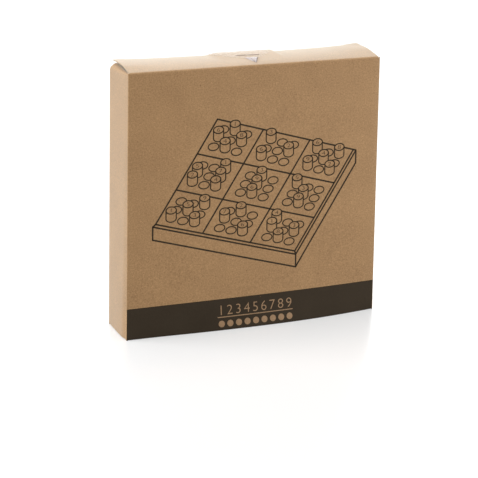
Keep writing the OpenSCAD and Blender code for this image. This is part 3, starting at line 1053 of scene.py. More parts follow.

# %% [markdown]
# The clear seal
# A round wafer of film is stuck half on the lid and half on the back panel. It is slit along the lid's
# back edge, so the lid can open: one half rides on each body. The halves are sheets like the card, only
# thinner, and laid on the same curves. The film itself hardly shows. What shows is a small fold where it
# was stuck down badly, doubled film whose pale lilac colour is a painted highlight for its glare, and
# sharp ridges whose dark colour is painted shade. These are small tents, each the hull of a few points.

# %% Seal
SEAL_R = (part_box("seal_on_lid")[1].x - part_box("seal_on_lid")[0].x) / 2
FILM = 0.15 * MM
FILM_GAP = 0.06 * MM
SEAL_COLUMNS = 48
SEAL_ROWS = 40
SEAL_LOOP = 1.0 * MM
SEAL_END_HALF = 0.5 * MM

def lid_surface(x, distance):
    """Height of the lid's outer face anywhere."""
    return LID_Z + lid_height(distance) + lid_lift(x, distance)

def seal_half(name, on_lid):
    """Half of the wafer, from its round rim to the slit at the lid's back edge."""
    along = SEAL_R * np.sin(np.linspace(0, math.pi / 2, SEAL_ROWS + 1))
    half = np.sqrt(np.clip(SEAL_R**2 - along**2, SEAL_END_HALF**2, None))
    x = spread(-half, half, SEAL_COLUMNS)
    along = np.broadcast_to(along[:, None], x.shape)
    top = lid_surface(x, LID_LENGTH) + FILM_GAP + FILM
    if on_lid:
        y = FRONT_Y + LID_LENGTH - along
        z = lid_surface(x, LID_LENGTH - along) + FILM_GAP + FILM
        outward = (0, 0, 1)
    else:
        # From the slit the film comes down in a quarter round to the back panel
        quarter = SEAL_LOOP * math.pi / 2
        turn = np.clip(along / quarter, 0, 1) * math.pi / 2
        panel_y = BACK_Y + BACK_LEAN * bulge(x, LID_Z) + FILM_GAP + FILM
        y = FRONT_Y + LID_LENGTH + np.sin(turn) * (panel_y - FRONT_Y - LID_LENGTH)
        z = top - SEAL_LOOP * (1 - np.cos(turn)) - np.clip(along - quarter, 0, None)
        y = y + BACK_LEAN * (bulge(x, z) - bulge(x, LID_Z)) * np.sin(turn)
        outward = (0, 1, 0.2)
    points = np.stack([x, y, z], axis=-1)
    return card_sheet(name, points, outward, 0.0, None, (seal_film,) * 3, FILM)

upper_seal = seal_half("seal_film_on_lid", True)
finish_piece(upper_seal, "lid", "clear_film", "seal_on_lid")
lower_seal = seal_half("seal_film_on_back", False)
finish_piece(lower_seal, "carton", "clear_film", "seal_on_back")

# %% Folds in the film
FOLD_GAP = 0.02 * MM
FOLD_LIFT = FILM_GAP + FILM + FOLD_GAP
FOLD_RISE = 0.25 * MM
RIDGE_RISE = 0.28 * MM
RIDGE_HALF = 0.22
THREE_CORNERED = [(-3.2, 13.8), (5.6, 13.2), (0.2, 3.6)]
THREE_CORNERED_TOP = (3.4, 10.6)
# Thin dark tents of film, painted shade along the film's creases
RIDGES = {
    "long": ((-6.5, 18.7), (8.7, 17.8)),
    "right": ((5.6, 13.2), (0.3, 3.6)),
    "inner": ((0.4, 10.7), (0.2, 5.2)),
}

def film_fold(name, outline, tops, rise, material):
    """A small tent of film on the lid, from its outline and its tops, in mm across and from the crease."""
    bm = bmesh.new()
    for spots, above in ((outline, 0.0), (tops, rise)):
        for x, distance in spots:
            z = float(lid_surface(x * MM, distance * MM)) + FOLD_LIFT + above
            bm.verts.new((float(stood(x * MM, z)), FRONT_Y + distance * MM, z))
    bmesh.ops.convex_hull(bm, input=bm.verts)
    bmesh.ops.recalc_face_normals(bm, faces=bm.faces)
    mesh = bpy.data.meshes.new(name)
    bm.to_mesh(mesh)
    bm.free()
    piece = add_object(name, mesh, (material,))
    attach(piece, "lid")
    print(name, "mm:", [round(1000 * length, 1) for length in piece.dimensions])

# The fold wears the painted highlight film
film_fold("seal_fold", THREE_CORNERED, [THREE_CORNERED_TOP], FOLD_RISE, fold_glare_film)
for word, ends in RIDGES.items():
    (x0, d0), (x1, d1) = ends
    length = math.hypot(x1 - x0, d1 - d0)
    aside = RIDGE_HALF * (d0 - d1) / length
    along = RIDGE_HALF * (x1 - x0) / length
    foot = [(x + way * aside, d + way * along) for x, d in ends for way in (1, -1)]
    film_fold("seal_ridge_" + word, foot, ends, RIDGE_RISE, ridge_shade_film)

# %% [markdown]
# Printing on the front panel
# Print has next to no thickness, but a line that is part of the panel's colour would need a picture. Here
# each line is a ribbon of ink that lies just on the panel, so it stays sharp however close one looks. The
# ribbons are drawn flat, in the panel's own width and height, and then laid on its surface.

# %% Laying print on the panel
INK_LIFT = 0.03 * MM
INK_THICK = 0.02 * MM

def round_edge(length, radius):
    """How far a sheet has gone along and inwards at a length past the start of a fold."""
    angle = np.clip(length / radius, 0, math.pi / 2)
    return np.where(length > 0, radius * np.sin(angle), length), radius * (1 - np.cos(angle))

def on_front(flat, lift):
    """Points in the sheet's own width and height, laid on the front panel and round its folds."""
    flat = np.asarray(flat, float)
    past_side, in_side = round_edge(np.abs(flat[:, 0]) - FLAT_HALF_W, UPRIGHT_R + lift)
    past_foot, in_foot = round_edge(CREASE_R - flat[:, 1], CREASE_R + lift)
    x = np.sign(flat[:, 0]) * (FLAT_HALF_W + past_side)
    z = CREASE_R - past_foot
    y = FRONT_Y - lift + in_side + np.where(in_side > 0, 0, in_foot) - bulge(x, z)
    return stand(np.stack([x, y, z], axis=-1))

def ink_film(name, points, faces, materials, thickness):
    """A thin film from the points and faces of a figure, with its faces turned to the front."""
    mesh = bpy.data.meshes.new(name)
    mesh.from_pydata(points, [], [list(face) for face in faces])
    mesh.update()
    bm = bmesh.new()
    bm.from_mesh(mesh)
    bm.normal_update()
    turned_faces = [face for face in bm.faces if face.normal.y > 0]
    bmesh.ops.reverse_faces(bm, faces=turned_faces)
    bm.to_mesh(mesh)
    bm.free()
    piece = add_object(name, mesh, materials)
    solidify = piece.modifiers.new("ink", "SOLIDIFY")
    solidify.thickness = thickness
    solidify.offset = -1
    apply_modifiers(piece)
    return piece

def lay_on_front(name, flat_points, faces, material, lift=INK_LIFT):
    """A flat figure laid on the front panel as a thin film of ink."""
    spots = on_front(flat_points, lift).tolist()
    piece = ink_film(name, spots, faces, (material,), INK_THICK)
    smooth(piece.data)
    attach(piece, "carton")
    print(name, "triangles:", triangles(piece))

print("ink is thick, mm:", round(1000 * INK_THICK, 3))

# %% Dark band
def flat_grid(across, upward):
    """Points and faces of a flat rectangle, cut into a grid so that it can follow a curved surface."""
    points = np.stack([v.ravel() for v in np.meshgrid(across, upward)], axis=-1)
    columns = len(across)
    faces = []
    for row in range(len(upward) - 1):
        for column in range(columns - 1):
            first = row * columns + column
            faces.append((first, first + 1, first + columns + 1, first + columns))
    return points, faces

BAND_TOP = 0.1203 * LID_Z
BAND_FOOT = -0.5 * MM
BAND_PAST_LEFT = 0.75 * MM
BAND_PAST_RIGHT = 0.5 * BAND_PAST_LEFT
BAND_STEPS_LEFT = 4
BAND_STEPS_RIGHT = 3
BAND_STEPS_FOOT = 7
BAND_STEPS_UP = 11
band_x = np.concatenate([
    -FLAT_HALF_W - np.linspace(BAND_PAST_LEFT, 0, BAND_STEPS_LEFT + 1)[:-1],
    np.linspace(-FLAT_HALF_W, FLAT_HALF_W, WALL_COLUMNS + 1),
    FLAT_HALF_W + np.linspace(0, BAND_PAST_RIGHT, BAND_STEPS_RIGHT + 1)[1:],
])
band_z = np.concatenate([
    np.linspace(BAND_FOOT, CREASE_R, BAND_STEPS_FOOT + 1)[:-1],
    np.linspace(CREASE_R, BAND_TOP, BAND_STEPS_UP + 1),
])
points, faces = flat_grid(band_x, band_z)
lay_on_front("printed_band", points, faces, brown_ink)

# %% [markdown]
# Digits
# A digit is set as text, turned into a mesh, and kept as plain points and faces, so that the same digit
# can lie on the band, in the figure and on a peg. The band carries a line of thin digits over a rule, with
# a row of dots like peg ends below, all left bare of ink.

# %% Digits as points and faces
DIGITS = range(1, 10)
DIGIT_WEIGHT = -0.012
DIGIT_CURVE_STEPS = 6

def digit_shape(text):
    """Points and faces of a text about its middle, one unit high, with its strokes made a little thinner."""
    curve = bpy.data.curves.new("digit", "FONT")
    curve.body = text
    curve.offset = DIGIT_WEIGHT
    curve.resolution_u = DIGIT_CURVE_STEPS
    curve.align_x = "CENTER"
    text_object = bpy.data.objects.new("digit", curve)
    bpy.context.scene.collection.objects.link(text_object)
    graph = bpy.context.evaluated_depsgraph_get()
    mesh = bpy.data.meshes.new_from_object(text_object.evaluated_get(graph))
    points = np.array([vertex.co[:2] for vertex in mesh.vertices])
    faces = [tuple(face.vertices) for face in mesh.polygons]
    bpy.data.objects.remove(text_object)
    bpy.data.curves.remove(curve)
    bpy.data.meshes.remove(mesh)
    low, high = points.min(axis=0), points.max(axis=0)
    points = (points - (low + high) / 2) / (high[1] - low[1])
    return points, faces

def joined(figures):
    """Several flat figures as one."""
    points, faces, count = [], [], 0
    for spots, polygons in figures:
        points.append(np.asarray(spots))
        faces += [tuple(count + i for i in polygon) for polygon in polygons]
        count += len(spots)
    return np.concatenate(points), faces

digit_shapes = {digit: digit_shape(str(digit)) for digit in DIGITS}
print("points in the digits:", [len(shape[0]) for shape in digit_shapes.values()])

# %% Marks on the band
DIGIT_H = 5.8 * MM
DIGIT_STEP = 5.6 * MM
DIGIT_Z = 12.5 * MM
MIDDLE_DIGIT = 5
RULE_Z = 8.2 * MM
RULE_H = 0.55 * MM
RULE_HALF_W = 24.8 * MM
DOT_Z = 4.1 * MM
DOT_R = 2.0 * MM
DOT_SIDES = 28
RULE_STEPS = 24

def disc(centre, radius, sides):
    """A flat round figure."""
    angles = np.arange(sides) * 2 * math.pi / sides
    points = np.array(centre) + radius * np.stack([np.cos(angles), np.sin(angles)], axis=-1)
    return points, [tuple(range(sides))]

rule_x = np.linspace(-RULE_HALF_W, RULE_HALF_W, RULE_STEPS + 1)
band_marks = [flat_grid(rule_x, np.array((RULE_Z - RULE_H / 2, RULE_Z + RULE_H / 2)))]
for digit, (points, faces) in digit_shapes.items():
    across = (digit - MIDDLE_DIGIT) * DIGIT_STEP
    band_marks.append((points * DIGIT_H + np.array((across, DIGIT_Z)), faces))
    band_marks.append(disc((across, DOT_Z), DOT_R, DOT_SIDES))
points, faces = joined(band_marks)
bare_pale = linear(180, 144, 107)
bare_card = kraft_card("bare_card_in_band", linear(140, 108, 75), bare_pale, bare_pale)
lay_on_front("band_digits", points, faces, bare_card, 2 * INK_LIFT)

# %% [markdown]
# A line figure of the board
# The panel shows a line figure of what is inside. It is worked out from the board itself: its edges,
# grooves, holes and some standing pegs are seen from above at an angle, and points that a nearer peg hides
# are dropped. What is left are open and closed lines, which a node tree turns into ribbons.

# %% What the figure shows
BOXES = 3
HOLES = BOXES * BOXES
HOLE_D = 10.0 * MM
PEG_D = 9.6 * MM
PEG_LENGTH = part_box("pegs_digit_1")[1].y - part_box("pegs_digit_1")[0].y
PEG_STAND = board_low.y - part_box("pegs_digit_1")[0].y
BOX_SIDE = BOARD_SIDE / BOXES
HOLE_PITCH = 12.0 * MM
EDGE_BEVEL = 2.0 * MM

def hole_at(i):
    """Middle of the hole in a row or column, counted from 0. Each box has as many as there are boxes."""
    return (i // BOXES - 1) * BOX_SIDE + (i % BOXES - 1) * HOLE_PITCH

def grid_digit(row, column):
    """Digit at a row and column of a solved grid."""
    return (BOXES * (row % BOXES) + row // BOXES + column) % HOLES + 1

def has_peg(row, column):
    """Whether the figure shows a peg standing in this hole. The rule scatters pegs in three of seven."""
    return (6 * row * row + column) % 7 in (0, 2, 5)

shown_pegs = [(row, column) for row in range(HOLES) for column in range(HOLES) if has_peg(row, column)]
print("pegs in the figure:", len(shown_pegs))

# %% How the figure is seen
FIGURE_TURN = math.radians(23)
FIGURE_TILT = math.radians(42)

def seen(point):
    """Where a point of the board, as (across, along, above its face), is in the figure."""
    across, along, above = (np.asarray(value, float) for value in point)
    sideways = across * math.cos(FIGURE_TURN) + along * math.sin(FIGURE_TURN)
    away = along * math.cos(FIGURE_TURN) - across * math.sin(FIGURE_TURN)
    upward = away * math.sin(FIGURE_TILT) + above * math.cos(FIGURE_TILT)
    return np.stack(np.broadcast_arrays(sideways, upward), axis=-1)

def away_from_viewer(row, column):
    """How far away a hole is from the viewer."""
    return hole_at(row) * math.cos(FIGURE_TURN) - hole_at(column) * math.sin(FIGURE_TURN)

def behind_pegs(points, nearer_than):
    """Which points of the figure a nearer peg hides."""
    hidden = np.zeros(len(points), bool)
    wide = PEG_D / 2
    tall = wide * math.sin(FIGURE_TILT)
    for row, column in shown_pegs:
        if away_from_viewer(row, column) >= nearer_than:
            continue
        foot = seen((hole_at(column), hole_at(row), 0))
        head = seen((hole_at(column), hole_at(row), PEG_STAND))
        for end in (foot, head):
            hidden |= (((points - end) / (wide, tall)) ** 2).sum(axis=1) < 1
        beside = np.abs(points[:, 0] - foot[0]) < wide
        hidden |= beside & (points[:, 1] > foot[1]) & (points[:, 1] < head[1])
    return hidden

print("figure is turned by, degrees:", round(math.degrees(FIGURE_TURN)))

# %% Lines that no peg hides
SAMPLE_STEP = 0.35 * MM
HOLE_STEPS = 44

def straight(start, end):
    """Close points along a straight line of the board."""
    start, end = np.array(start, float), np.array(end, float)
    count = max(2, int(np.linalg.norm(end - start) / SAMPLE_STEP))
    return [(start + (end - start) * i / count) for i in range(count + 1)]

def round_line(centre, diameter, above, first=0.0, last=360.0):
    """Close points along a circle level with the board's face, from and to an angle that the viewer sees."""
    angles = np.radians(np.linspace(first, last, HOLE_STEPS + 1)) + FIGURE_TURN
    across = centre[0] + diameter / 2 * np.cos(angles)
    along = centre[1] + diameter / 2 * np.sin(angles)
    return [(x, y, above) for x, y in zip(across, along)]

lines = []

def draw(points, half_width, nearer_than=math.inf):
    """Adds the stretches of a line that no peg hides."""
    flat = seen(np.array(points).T)
    shows = ~behind_pegs(flat, nearer_than)
    stretch = []
    for spot, visible in zip(flat, shows):
        if visible:
            stretch.append(spot)
        elif stretch:
            lines.append((stretch, half_width))
            stretch = []
    if stretch:
        lines.append((stretch, half_width))

print("points are this close, mm:", round(1000 * SAMPLE_STEP, 2))

# %% Lines of the board, its holes and its pegs
OUTLINE_HALF = 0.50 * MM
FINE_HALF = 0.37 * MM
CORNER_SIGNS = ((-1, -1), (1, -1), (1, 1), (-1, 1))
face_half = BOARD_SIDE / 2 - EDGE_BEVEL
side_half = BOARD_SIDE / 2
face_corners = [(x * face_half, y * face_half) for x, y in CORNER_SIGNS]
for first, second in zip(face_corners, face_corners[1:] + face_corners[:1]):
    draw(straight((*first, 0), (*second, 0)), OUTLINE_HALF)
near_corners = [(x * side_half, y * side_half) for x, y in CORNER_SIGNS[:3]]
for drop in (EDGE_BEVEL, BOARD_THICK):
    for first, second in zip(near_corners, near_corners[1:]):
        draw(straight((*first, -drop), (*second, -drop)), OUTLINE_HALF)
for corner, inner in zip(near_corners, face_corners):
    draw(straight((*inner, 0), (*corner, -EDGE_BEVEL)), OUTLINE_HALF)
    draw(straight((*corner, -EDGE_BEVEL), (*corner, -BOARD_THICK)), OUTLINE_HALF)
for place in (-BOX_SIDE / 2, BOX_SIDE / 2):
    draw(straight((place, -face_half, 0), (place, face_half, 0)), OUTLINE_HALF)
    draw(straight((-face_half, place, 0), (face_half, place, 0)), OUTLINE_HALF)
for row in range(HOLES):
    for column in range(HOLES):
        centre = (hole_at(column), hole_at(row))
        if not has_peg(row, column):
            draw(round_line(centre, HOLE_D, 0), FINE_HALF)
            continue
        distance = away_from_viewer(row, column)
        draw(round_line(centre, PEG_D, PEG_STAND), FINE_HALF, distance)
        draw(round_line(centre, PEG_D, 0, 180.0, 360.0), FINE_HALF, distance)
        for angle in (0.0, 180.0):
            (foot,) = round_line(centre, PEG_D, 0, angle, angle)[:1]
            draw(straight(foot, (foot[0], foot[1], PEG_STAND)), FINE_HALF, distance)
print("lines in the figure:", len(lines))

# %% [markdown]
# Ribbons from lines
# A line of ink is a flat ribbon. A curve with a bevel would be a round wire, so a node tree makes the
# ribbons. A mesh of bare edges goes in, with half a line's width on each point. The tree makes curves of
# the edges, sweeps a short cross line along them, and puts a small disc on every end, so corners and ends
# are round.

# %% Helpers for shape trees
def socket(tree, name, kind, direction="INPUT", default=None):
    """A named input or output of a node tree."""
    made = tree.interface.new_socket(name=name, in_out=direction, socket_type=kind)
    if default is not None:
        made.default_value = default

def realize(tree, shapes, material):
    """Instances turned into a plain mesh of one material."""
    whole = add_node(tree, "GeometryNodeRealizeInstances", {"Geometry": shapes}).outputs[0]
    return add_node(tree, "GeometryNodeSetMaterial", {"Geometry": whole, "Material": material}).outputs[0]

def end_tree(tree, shapes, material):
    """The tree's result: its shapes as a plain mesh of one material."""
    add_node(tree, "NodeGroupOutput", {0: realize(tree, shapes, material)})

def run_tree(piece, tree, values):
    """Puts a node tree on a piece with its inputs set, and turns the result into a plain mesh."""
    modifier = piece.modifiers.new(tree.name, "NODES")
    modifier.node_group = tree
    for item in tree.interface.items_tree:
        if item.item_type == "SOCKET" and item.in_out == "INPUT" and item.name in values:
            modifier[item.identifier] = values[item.name]
    return apply_modifiers(piece)

print("shape trees so far:", len(bpy.data.node_groups))

# %% Node tree for ink lines
CAP_SIDES = 14

def ribbon_tree():
    """A node tree that turns edges into flat ribbons with round ends."""
    tree = bpy.data.node_groups.new("ink_lines", "GeometryNodeTree")
    socket(tree, "Lines", "NodeSocketGeometry")
    socket(tree, "Cap sides", "NodeSocketInt", default=CAP_SIDES)
    socket(tree, "Ink", "NodeSocketMaterial")
    socket(tree, "Ribbons", "NodeSocketGeometry", "OUTPUT")
    given = add_node(tree, "NodeGroupInput").outputs
    width = add_node(tree, "GeometryNodeInputNamedAttribute", {"Name": "half_width"}, data_type="FLOAT")
    curves = add_node(tree, "GeometryNodeMeshToCurve", {"Mesh": given["Lines"]}).outputs[0]
    upright = add_node(tree, "GeometryNodeSetCurveNormal", {"Curve": curves}, mode="Z_UP").outputs[0]
    sized = add_node(
        tree, "GeometryNodeSetCurveRadius", {"Curve": upright, "Radius": width.outputs["Attribute"]}
    ).outputs[0]
    across = add_node(
        tree, "GeometryNodeCurvePrimitiveLine", {"Start": (-1, 0, 0), "End": (1, 0, 0)}
    ).outputs[0]
    scale = add_node(tree, "GeometryNodeInputRadius").outputs[0]
    swept = {"Curve": sized, "Profile Curve": across, "Scale": scale}
    sweep = add_node(tree, "GeometryNodeCurveToMesh", swept)
    cap = add_node(
        tree, "GeometryNodeMeshCircle", {"Vertices": given["Cap sides"], "Radius": 1.0}, fill_type="NGON"
    ).outputs[0]
    ends = add_node(tree, "GeometryNodeCurveEndpointSelection").outputs[0]
    caps = add_node(
        tree,
        "GeometryNodeInstanceOnPoints",
        {"Points": sized, "Selection": ends, "Instance": cap, "Scale": scale},
    ).outputs[0]
    both = add_node(tree, "GeometryNodeJoinGeometry")
    tree.links.new(sweep.outputs[0], both.inputs[0])
    tree.links.new(caps, both.inputs[0])
    end_tree(tree, both.outputs[0], given["Ink"])
    return tree

ink_lines = ribbon_tree()
print("nodes in the tree:", len(ink_lines.nodes))

# %% Lines into ribbons
FIGURE_SCALE = 0.676
SAME_POINT = 0.001 * MM
edge_mesh = bpy.data.meshes.new("figure_lines")
line_points, line_edges, line_widths = [], [], []
for stretch, half_width in lines:
    first = len(line_points)
    loops = len(stretch) > 3 and np.linalg.norm(stretch[0] - stretch[-1]) < SAME_POINT
    spots = stretch[:-1] if loops else stretch
    line_points += [(*(FIGURE_SCALE * spot), 0.0) for spot in spots]
    line_edges += [(first + i, first + i + 1) for i in range(len(spots) - 1)]
    if loops:
        line_edges.append((first + len(spots) - 1, first))
    line_widths += [half_width] * len(spots)
edge_mesh.from_pydata(line_points, line_edges, [])
edge_mesh.attributes.new("half_width", "FLOAT", "POINT").data.foreach_set("value", line_widths)
figure = add_object("figure_lines", edge_mesh, ())
ribbons = run_tree(figure, ink_lines, {"Cap sides": CAP_SIDES, "Ink": brown_ink})
flat_points = np.array([vertex.co[:2] for vertex in ribbons.vertices])
flat_faces = [tuple(face.vertices) for face in ribbons.polygons]
bpy.data.objects.remove(figure)
print("ribbon points:", len(flat_points))

# %% Digits on the figure's pegs, and the figure laid on the panel
FIGURE_DIGIT_H = 5.0 * MM
FIGURE_MIDDLE = np.array((0.3, 82.8)) * MM

def peg_end_digit(row, column):
    """A digit lying on the end of a peg in the figure, or nothing where a nearer peg hides it."""
    points, faces = digit_shapes[grid_digit(row, column)]
    centre = np.array((hole_at(column), hole_at(row)))
    turn = np.array((
        (math.cos(FIGURE_TURN), math.sin(FIGURE_TURN)),
        (-math.sin(FIGURE_TURN), math.cos(FIGURE_TURN)),
    ))
    lying = centre + points @ turn * FIGURE_DIGIT_H
    flat = seen((lying[:, 0], lying[:, 1], PEG_STAND))
    if behind_pegs(flat, away_from_viewer(row, column)).any():
        return None
    return FIGURE_SCALE * flat, faces

figure_parts = [(flat_points, flat_faces)]
figure_parts += [shape for shape in (peg_end_digit(*peg) for peg in shown_pegs) if shape]
points, faces = joined(figure_parts)
figure_low, figure_high = points.min(axis=0), points.max(axis=0)
points = points - (figure_low + figure_high) / 2 + FIGURE_MIDDLE
lay_on_front("printed_figure", points, faces, brown_ink)
print("figure, mm:", (1000 * (figure_high - figure_low)).round(1))

# %% [markdown]
# The board
# The board is a block of solid wood with nine boxes of nine holes. Holes and pegs share one rule for their
# places, so the rule is a node group that both trees use. For the board, a small cutter with an eased rim
# is put at every place. Four groove bars and then all cutters at once are taken out of the block, which is
# far quicker than 81 cuts one by one.

# %% Shared places of holes and pegs
def hole_places_group():
    """A node group that gives the 81 places, and the digit that belongs at each."""
    tree = bpy.data.node_groups.new("hole_places", "GeometryNodeTree")
    socket(tree, "Box side", "NodeSocketFloat", default=BOX_SIDE)
    socket(tree, "Hole pitch", "NodeSocketFloat", default=HOLE_PITCH)
    socket(tree, "Depth", "NodeSocketFloat")
    socket(tree, "Height", "NodeSocketFloat")
    socket(tree, "Places", "NodeSocketGeometry", "OUTPUT")
    socket(tree, "Digit", "NodeSocketFloat", "OUTPUT")
    given = add_node(tree, "NodeGroupInput").outputs
    index = add_node(tree, "GeometryNodeInputIndex").outputs[0]
    column = calc(tree, "MODULO", index, HOLES)
    row = calc(tree, "FLOOR", calc(tree, "DIVIDE", calc(tree, "ADD", index, 0.5), HOLES))

    def box_of(number):
        return calc(tree, "FLOOR", calc(tree, "DIVIDE", calc(tree, "ADD", number, 0.5), BOXES))

    def within_box(number):
        return calc(tree, "SUBTRACT", number, calc(tree, "MULTIPLY", box_of(number), BOXES))

    def from_middle(number):
        box = calc(tree, "MULTIPLY", calc(tree, "SUBTRACT", box_of(number), 1), given["Box side"])
        hole = calc(tree, "SUBTRACT", within_box(number), 1)
        return calc(tree, "MULTIPLY_ADD", hole, given["Hole pitch"], box)

    height = calc(tree, "ADD", from_middle(row), given["Height"])
    spot = {"X": from_middle(column), "Y": given["Depth"], "Z": height}
    place = add_node(tree, "ShaderNodeCombineXYZ", spot)
    spots = {"Count": HOLES * HOLES, "Position": place.outputs[0]}
    points = add_node(tree, "GeometryNodePoints", spots).outputs[0]
    total = calc(tree, "ADD", calc(tree, "MULTIPLY_ADD", within_box(row), BOXES, box_of(row)), column)
    digit = calc(tree, "ADD", calc(tree, "MODULO", total, HOLES), 1)
    add_node(tree, "NodeGroupOutput", {"Places": points, "Digit": digit})
    return tree

hole_places = hole_places_group()
print("node group:", hole_places.name)

# %% Turned shapes
def turned(name, profile, sides):
    """A closed shape turned about the Y axis, from (radius, y) pairs that start and end on the axis."""
    bm = bmesh.new()
    rings = []
    for radius, y in profile:
        count = 1 if radius == 0 else sides
        angles = [2 * math.pi * i / count for i in range(count)]
        rings.append([bm.verts.new((radius * math.cos(a), y, radius * math.sin(a))) for a in angles])
    for lower, upper in zip(rings, rings[1:]):
        for i in range(sides):
            j = (i + 1) % sides
            if len(lower) == 1:
                bm.faces.new((lower[0], upper[i], upper[j]))
            elif len(upper) == 1:
                bm.faces.new((lower[j], lower[i], upper[0]))
            else:
                bm.faces.new((lower[j], lower[i], upper[i], upper[j]))
    bmesh.ops.recalc_face_normals(bm, faces=bm.faces)
    mesh = bpy.data.meshes.new(name)
    bm.to_mesh(mesh)
    bm.free()
    return mesh

HOLE_DEPTH = 10.0 * MM
HOLE_EASE = 0.4 * MM
CUT_PAST = 1.0 * MM
CUTTER_SIDES = 48
hole_r = HOLE_D / 2
cutter_profile = [
    (0, HOLE_DEPTH),
    (hole_r, HOLE_DEPTH),
    (hole_r, HOLE_EASE),
    (hole_r + HOLE_EASE, 0),
    (hole_r + HOLE_EASE, -CUT_PAST),
    (0, -CUT_PAST),
]
hole_cutter = add_object("hole_cutter", turned("hole_cutter", cutter_profile, CUTTER_SIDES), ())
print("hole cutter points:", len(hole_cutter.data.vertices))

# %% Block and groove bars
GROOVE_W = 1.2 * MM
GROOVE_DEPTH = 1.0 * MM
EDGE_EASE = 0.5 * MM
EASE_STEPS = 3

def add_block(bm, low, high):
    """A box between two corners."""
    made = bmesh.ops.create_cube(bm, size=1.0)["verts"]
    bmesh.ops.scale(bm, verts=made, vec=Vector(high) - Vector(low))
    bmesh.ops.translate(bm, verts=made, vec=(Vector(low) + Vector(high)) / 2)

def board_block():
    """The block with its bevelled face, and all edges eased."""
    bm = bmesh.new()
    add_block(bm, board_low, board_high)
    in_face = {vert for vert in bm.verts if abs(vert.co.y - board_low.y) < SAME_POINT}
    front_edges = [edge for edge in bm.edges if in_face.issuperset(edge.verts)]
    bmesh.ops.bevel(bm, geom=front_edges, offset=EDGE_BEVEL, segments=1, affect="EDGES")
    bmesh.ops.bevel(bm, geom=bm.edges[:], offset=EDGE_EASE, segments=EASE_STEPS, profile=0.5, affect="EDGES")
    mesh = bpy.data.meshes.new("board_block")
    bm.to_mesh(mesh)
    bm.free()
    return mesh

def groove_bars():
    """Four bars where the grooves between the nine boxes are cut."""
    bm = bmesh.new()
    half = GROOVE_W / 2
    past = BOARD_SIDE
    top = board_low.y - CUT_PAST
    bottom = board_low.y + GROOVE_DEPTH
    for line in (-BOX_SIDE / 2, BOX_SIDE / 2):
        z = BOARD_Z + line
        add_block(bm, (line - half, top, BOARD_Z - past), (line + half, bottom, BOARD_Z + past))
        add_block(bm, (-past, top, z - half), (past, bottom, z + half))
    mesh = bpy.data.meshes.new("groove_bars")
    bm.to_mesh(mesh)
    bm.free()
    return mesh

bars = add_object("groove_bars", groove_bars(), ())
board = add_object("board_wood", board_block(), ())
print("block points:", len(board.data.vertices))

# %% Node tree for the board
def places_in(tree, depth, height):
    """The shared places, at a depth and about a height that the tree is given."""
    inputs = {"Box side": BOX_SIDE, "Hole pitch": HOLE_PITCH, "Depth": depth, "Height": height}
    return add_node(tree, "GeometryNodeGroup", inputs, node_tree=hole_places).outputs

def object_shape(tree, given):
    """The shape of an object that the tree is given."""
    return add_node(tree, "GeometryNodeObjectInfo", {"Object": given}).outputs["Geometry"]

def cut_out(tree, block, cutters, **more):
    """A block with the cutters taken out of it."""
    inputs = {"Mesh 1": block, "Mesh 2": cutters, **more}
    settings = {"operation": "DIFFERENCE", "solver": "EXACT"}
    return add_node(tree, "GeometryNodeMeshBoolean", inputs, **settings).outputs["Mesh"]

def board_tree():
    """A node tree that cuts the grooves and all the holes out of a block."""
    tree = bpy.data.node_groups.new("drilled_board", "GeometryNodeTree")
    socket(tree, "Block", "NodeSocketGeometry")
    socket(tree, "Hole cutter", "NodeSocketObject")
    socket(tree, "Groove bars", "NodeSocketObject")
    socket(tree, "Face depth", "NodeSocketFloat")
    socket(tree, "Middle height", "NodeSocketFloat")
    socket(tree, "Wood", "NodeSocketMaterial")
    socket(tree, "Board", "NodeSocketGeometry", "OUTPUT")
    given = add_node(tree, "NodeGroupInput").outputs
    places = places_in(tree, given["Face depth"], given["Middle height"])
    drills = add_node(
        tree,
        "GeometryNodeInstanceOnPoints",
        {"Points": places["Places"], "Instance": object_shape(tree, given["Hole cutter"])},
    ).outputs[0]
    drills = add_node(tree, "GeometryNodeRealizeInstances", {"Geometry": drills}).outputs[0]
    crossed = {"Self Intersection": True}
    grooved = cut_out(tree, given["Block"], object_shape(tree, given["Groove bars"]), **crossed)
    end_tree(tree, cut_out(tree, grooved, drills), given["Wood"])
    return tree

drilled_board = board_tree()
print("nodes in the tree:", len(drilled_board.nodes))

# %% Board
WOOD_SHARP = math.radians(30)
board_values = {
    "Hole cutter": hole_cutter,
    "Groove bars": bars,
    "Face depth": board_low.y,
    "Middle height": BOARD_Z,
    "Wood": board_wood,
}
smooth(run_tree(board, drilled_board, board_values), WOOD_SHARP)
bpy.data.objects.remove(hole_cutter)
bpy.data.objects.remove(bars)
finish_piece(board, "board", "board_wood", "board")

# %% [markdown]
# The pegs
# Nine pegs carry each digit. Copies would all show the same wood. So one turned peg and one digit are put
# by a tree at the places where that digit belongs. Each peg is turned about itself by chance, and its own
# random shift moves the wood pattern, so no two pegs show the same grain. The seed is the digit, so the
# result is the same every time.

# %% One peg and its mark
PEG_ROUND = 0.6 * MM
PEG_SIDES = 40
MARK_H = 5.4 * MM
MARK_THICK = 0.04 * MM

def peg_mesh():
    """A dowel with rounded ends, its foot on the bottom of the hole and its head towards the viewer."""
    r = PEG_D / 2
    quarter = 0.25 * PEG_ROUND
    foot = [(0, 0), (r - PEG_ROUND, 0), (r - quarter, -quarter), (r, -PEG_ROUND)]
    head = [(radius, -PEG_LENGTH - y) for radius, y in foot]
    return turned("peg", foot + head[::-1], PEG_SIDES)

def peg_mark(digit):
    """A digit that lies on a peg's head and reads upright from the front."""
    points, faces = digit_shapes[digit]
    spots = [(x * MARK_H, -PEG_LENGTH - MARK_THICK, z * MARK_H) for x, z in points]
    return ink_film("mark", spots, faces, (), MARK_THICK)

one_peg = add_object("peg", peg_mesh(), ())
print("points in a peg:", len(one_peg.data.vertices))

# %% Node tree for pegs
GRAIN_SHIFT = 400.0

